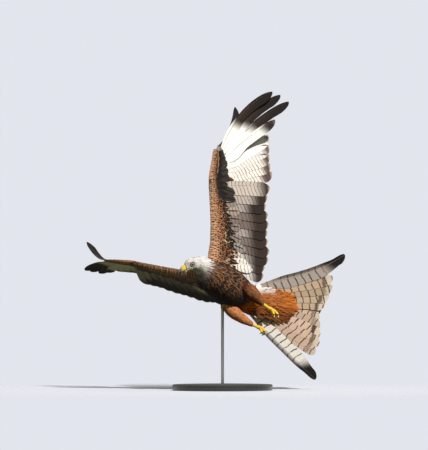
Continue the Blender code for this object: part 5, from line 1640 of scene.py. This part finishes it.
def build_feet():
    """Each foot: a scaled shank carried along its line, and four half-shut toes, each a tube
    round a curve with pads at its joints, with hooked claws that taper along theirs."""
    for name in ("left", "right"):
        hip, knee, ankle, toe = (np.array(p) for p in LEGS[name])
        line = bezier((hip, knee, ankle), 8)
        along = unit(line[-1] - line[-2])
        start = line[-1] - along * 0.006
        reach = toe - line[-1]
        shank = line[-1] + reach * 0.45
        path = curve_through([start, line[-1] + along * 0.004, line[-1] + reach * 0.25, shank,
                              shank + unit(reach) * 0.004], 40)
        scutes = 1.0 + 0.035 * np.sin(np.linspace(0.0, 14.0, 40) * 2.0 * math.pi)
        radii = size("shank") * np.interp(np.linspace(0, 1, 40), (0, 0.3, 0.6, 0.9, 1.0),
                                          (1.05, 1.0, 0.95, 1.25, 0.8)) * scutes
        tube = round_rings(path, radii, 20)
        shapes, shares = [closed_loft(tube)], [ring_shares(tube)]
        hooks, hook_shares = [], []
        ahead = unit(reach)
        side = unit(np.cross(ahead, (0.0, 0.25, 1.0)))
        sole = np.cross(side, ahead)
        for spread, extent, drop in TOES[name]:
            out = unit(ahead + side * spread)
            knuckle = shank + out * extent * 0.60 + sole * drop * 0.35
            tip = shank + out * extent - sole * drop
            bones = bezier((shank - ahead * 0.003, knuckle, tip), 32)
            share = np.linspace(0.0, 1.0, 32)
            pads = 1.0 + 0.16 * np.sin(share * 3.0 * math.pi) ** 2 + 0.03 * np.sin(share * 75.0)
            ends = np.sqrt(np.clip(1.0 - ((share - 0.9) / 0.1).clip(0, 1) ** 2 * 0.7, 0, 1))
            width = size("toe") * np.linspace(1.0, 0.66, 32)
            toe_tube = round_rings(bones, width * pads * ends, 16)
            shapes.append(closed_loft(toe_tube))
            shares.append(ring_shares(toe_tube))
            bent = unit(bones[-1] - bones[-4])
            down = unit(-sole - bent * (bent @ -sole))
            hook = bezier((tip - bent * 0.004, tip + bent * 0.006 + down * 0.001,
                           tip + bent * 0.005 + down * 0.010), 18)
            claw = round_rings(hook, 0.0027 * (1.0 - np.linspace(0, 1, 18) ** 1.3) + 0.0002, 12)
            hooks.append(closed_loft(claw))
            hook_shares.append(ring_shares(claw))
        shell("toes_" + name, shapes, shares, "foot", "foot", "foot_" + name)
        shell("claws_" + name, hooks, hook_shares, "claw", "foot")


def build_stand():
    """The solids' base and rod in their finishes."""
    for node, look in (("stand_base", "lacquer"), ("stand_rod", "steel")):
        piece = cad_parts[node]
        piece.data.materials.clear()
        piece.data.materials.append(material_of(look))


def build_floor(stage):
    """A round floor that fades out, and that lets the soft light from below through."""
    angle = np.arange(96) * 2.0 * math.pi / 96
    radius = np.linspace(0.001, stage.reach, 12)[:, None, None]
    rings = radius * np.stack([np.cos(angle), np.sin(angle), 0.0 * angle], -1)[None]
    floor = put_mesh("floor", rings.reshape(-1, 3), grid_triangles(12, 96)[:, ::-1],
                     floor_look(stage.ground))
    floor.visible_diffuse = False
    floor.visible_shadow = False


def build_lights(stage):
    """A plain sky for the camera, soft light that fades from above to below, and two suns."""
    world = bpy.data.worlds.new("Sky")
    bpy.context.scene.world = world
    world.use_nodes = True
    w = Wires(world.node_tree)
    world.node_tree.nodes.clear()
    _, _, z = w.split(w.node("ShaderNodeTexCoord").outputs["Generated"])
    glow = w.mix(w.step(-0.25, 0.75, z), (*stage.below, 1.0), (*stage.above, 1.0))
    seen = w.node("ShaderNodeBackground")
    seen.inputs["Color"].default_value = (*stage.sky, 1.0)
    lit = w.node("ShaderNodeBackground")
    w.set(lit.inputs["Color"], glow)
    lit.inputs["Strength"].default_value = stage.glow
    pick = w.node("ShaderNodeMixShader")
    w.set(pick.inputs[0], w.node("ShaderNodeLightPath").outputs["Is Camera Ray"])
    w.set(pick.inputs[1], lit.outputs[0])
    w.set(pick.inputs[2], seen.outputs[0])
    w.set(w.node("ShaderNodeOutputWorld").inputs[0], pick.outputs[0])
    for name, energy, wide, toward in (
        ("Sun", stage.sun, 4.0, stage.toward), ("Fill", 0.12, 30.0, (-0.8, -0.3, 0.3)),
    ):
        light = bpy.data.lights.new(name, "SUN")
        light.energy = energy
        light.angle = math.radians(wide)
        lamp = bpy.data.objects.new(name, light)
        lamp.rotation_euler = Vector(toward).to_track_quat("Z", "Y").to_euler()
        bpy.context.scene.collection.objects.link(lamp)


def build_camera(stage):
    """A level camera far off, as the photographer's long lens was."""
    camera = bpy.data.objects.new("Camera", bpy.data.cameras.new("Camera"))
    camera.data.lens = stage.lens
    camera.data.sensor_fit = "VERTICAL"
    camera.data.sensor_height = SENSOR
    camera.data.clip_end = 200.0
    camera.location = (CAMERA_X, BODY_AT.y - CAMERA_DISTANCE_PER_MM * stage.lens, CAMERA_HEIGHT)
    camera.rotation_euler = (math.radians(90.0), 0.0, 0.0)
    bpy.context.scene.collection.objects.link(camera)
    bpy.context.scene.camera = camera
    bpy.context.scene.view_settings.view_transform = "Standard"


class KITE_OT_skin(bpy.types.Operator):
    """Make the one skin under the coat, over torso, neck, head, thighs and the wings' flesh."""

    bl_idname = "kite.skin"
    bl_label = "Skin"

    def execute(self, context):
        build_skin()
        return {"FINISHED"}


class KITE_OT_coat(bpy.types.Operator):
    """Make the feathers of the body, neck, head and thighs."""

    bl_idname = "kite.coat"
    bl_label = "Body feathers"

    def execute(self, context):
        build_coat()
        return {"FINISHED"}


class KITE_OT_wings(bpy.types.Operator):
    """Make both wings: quills, shafts, thumb feathers and coverts."""

    bl_idname = "kite.wings"
    bl_label = "Wings"

    def execute(self, context):
        for name in ("left", "right"):
            build_wing(name)
        return {"FINISHED"}


class KITE_OT_tail(bpy.types.Operator):
    """Make the forked tail and the coverts at its root."""

    bl_idname = "kite.tail"
    bl_label = "Tail"

    def execute(self, context):
        build_tail()
        return {"FINISHED"}


class KITE_OT_eyes(bpy.types.Operator):
    """Make the eyeballs and the lids round them."""

    bl_idname = "kite.eyes"
    bl_label = "Eyes"

    def execute(self, context):
        build_eyes()
        return {"FINISHED"}


class KITE_OT_bill(bpy.types.Operator):
    """Make the cere, the two halves of the bill and the gape."""

    bl_idname = "kite.bill"
    bl_label = "Bill"

    def execute(self, context):
        build_bill()
        return {"FINISHED"}


class KITE_OT_feet(bpy.types.Operator):
    """Make the shanks, toes and claws."""

    bl_idname = "kite.feet"
    bl_label = "Feet"

    def execute(self, context):
        build_feet()
        return {"FINISHED"}


class KITE_OT_stand(bpy.types.Operator):
    """Give the stand's base and rod their finishes."""

    bl_idname = "kite.stand"
    bl_label = "Stand finishes"

    def execute(self, context):
        build_stand()
        return {"FINISHED"}


class KITE_OT_stage(bpy.types.Operator):
    """Make the floor, the lights and the camera."""

    bl_idname = "kite.stage"
    bl_label = "Floor, light and camera"

    def execute(self, context):
        stage = context.scene.kite_stage
        build_floor(stage)
        build_lights(stage)
        build_camera(stage)
        return {"FINISHED"}


PIECES = (KITE_OT_skin, KITE_OT_coat, KITE_OT_wings, KITE_OT_tail, KITE_OT_eyes, KITE_OT_bill,
          KITE_OT_feet, KITE_OT_stand, KITE_OT_stage)
SETTINGS = {"kite_plumage": KitePlumage, "kite_bare_parts": KiteBareParts,
            "kite_sizes": KiteSizes, "kite_stage": KiteStage}


class KITE_PT_model(bpy.types.Panel):
    """The model's pieces and settings."""

    bl_idname = "KITE_PT_model"
    bl_label = "Red Kite"
    bl_space_type = "VIEW_3D"
    bl_region_type = "UI"
    bl_category = "Red Kite"

    def draw(self, context):
        for kind in PIECES:
            self.layout.operator(kind.bl_idname)
        for word, kind in SETTINGS.items():
            box = self.layout.box()
            box.label(text=kind.__doc__.strip("."))
            for setting in kind.__annotations__:
                box.prop(getattr(context.scene, word), setting)


CLASSES = (*SETTINGS.values(), *PIECES, KITE_PT_model)


def register():
    """Adds the settings, operators and panel to Blender."""
    for kind in CLASSES:
        bpy.utils.register_class(kind)
    for word, kind in SETTINGS.items():
        setattr(bpy.types.Scene, word, bpy.props.PointerProperty(type=kind))


def unregister():
    """Takes the settings, operators and panel out again."""
    for word in SETTINGS:
        delattr(bpy.types.Scene, word)
    for kind in reversed(CLASSES):
        bpy.utils.unregister_class(kind)


def main():
    """Registers the panel and dresses the solids."""
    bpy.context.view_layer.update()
    register()
    bpy.ops.kite.skin()
    bpy.ops.kite.coat()
    bpy.ops.kite.wings()
    bpy.ops.kite.tail()
    bpy.ops.kite.eyes()
    bpy.ops.kite.bill()
    bpy.ops.kite.feet()
    bpy.ops.kite.stand()
    bpy.ops.kite.stage()


if __name__ == "__main__":
    main()
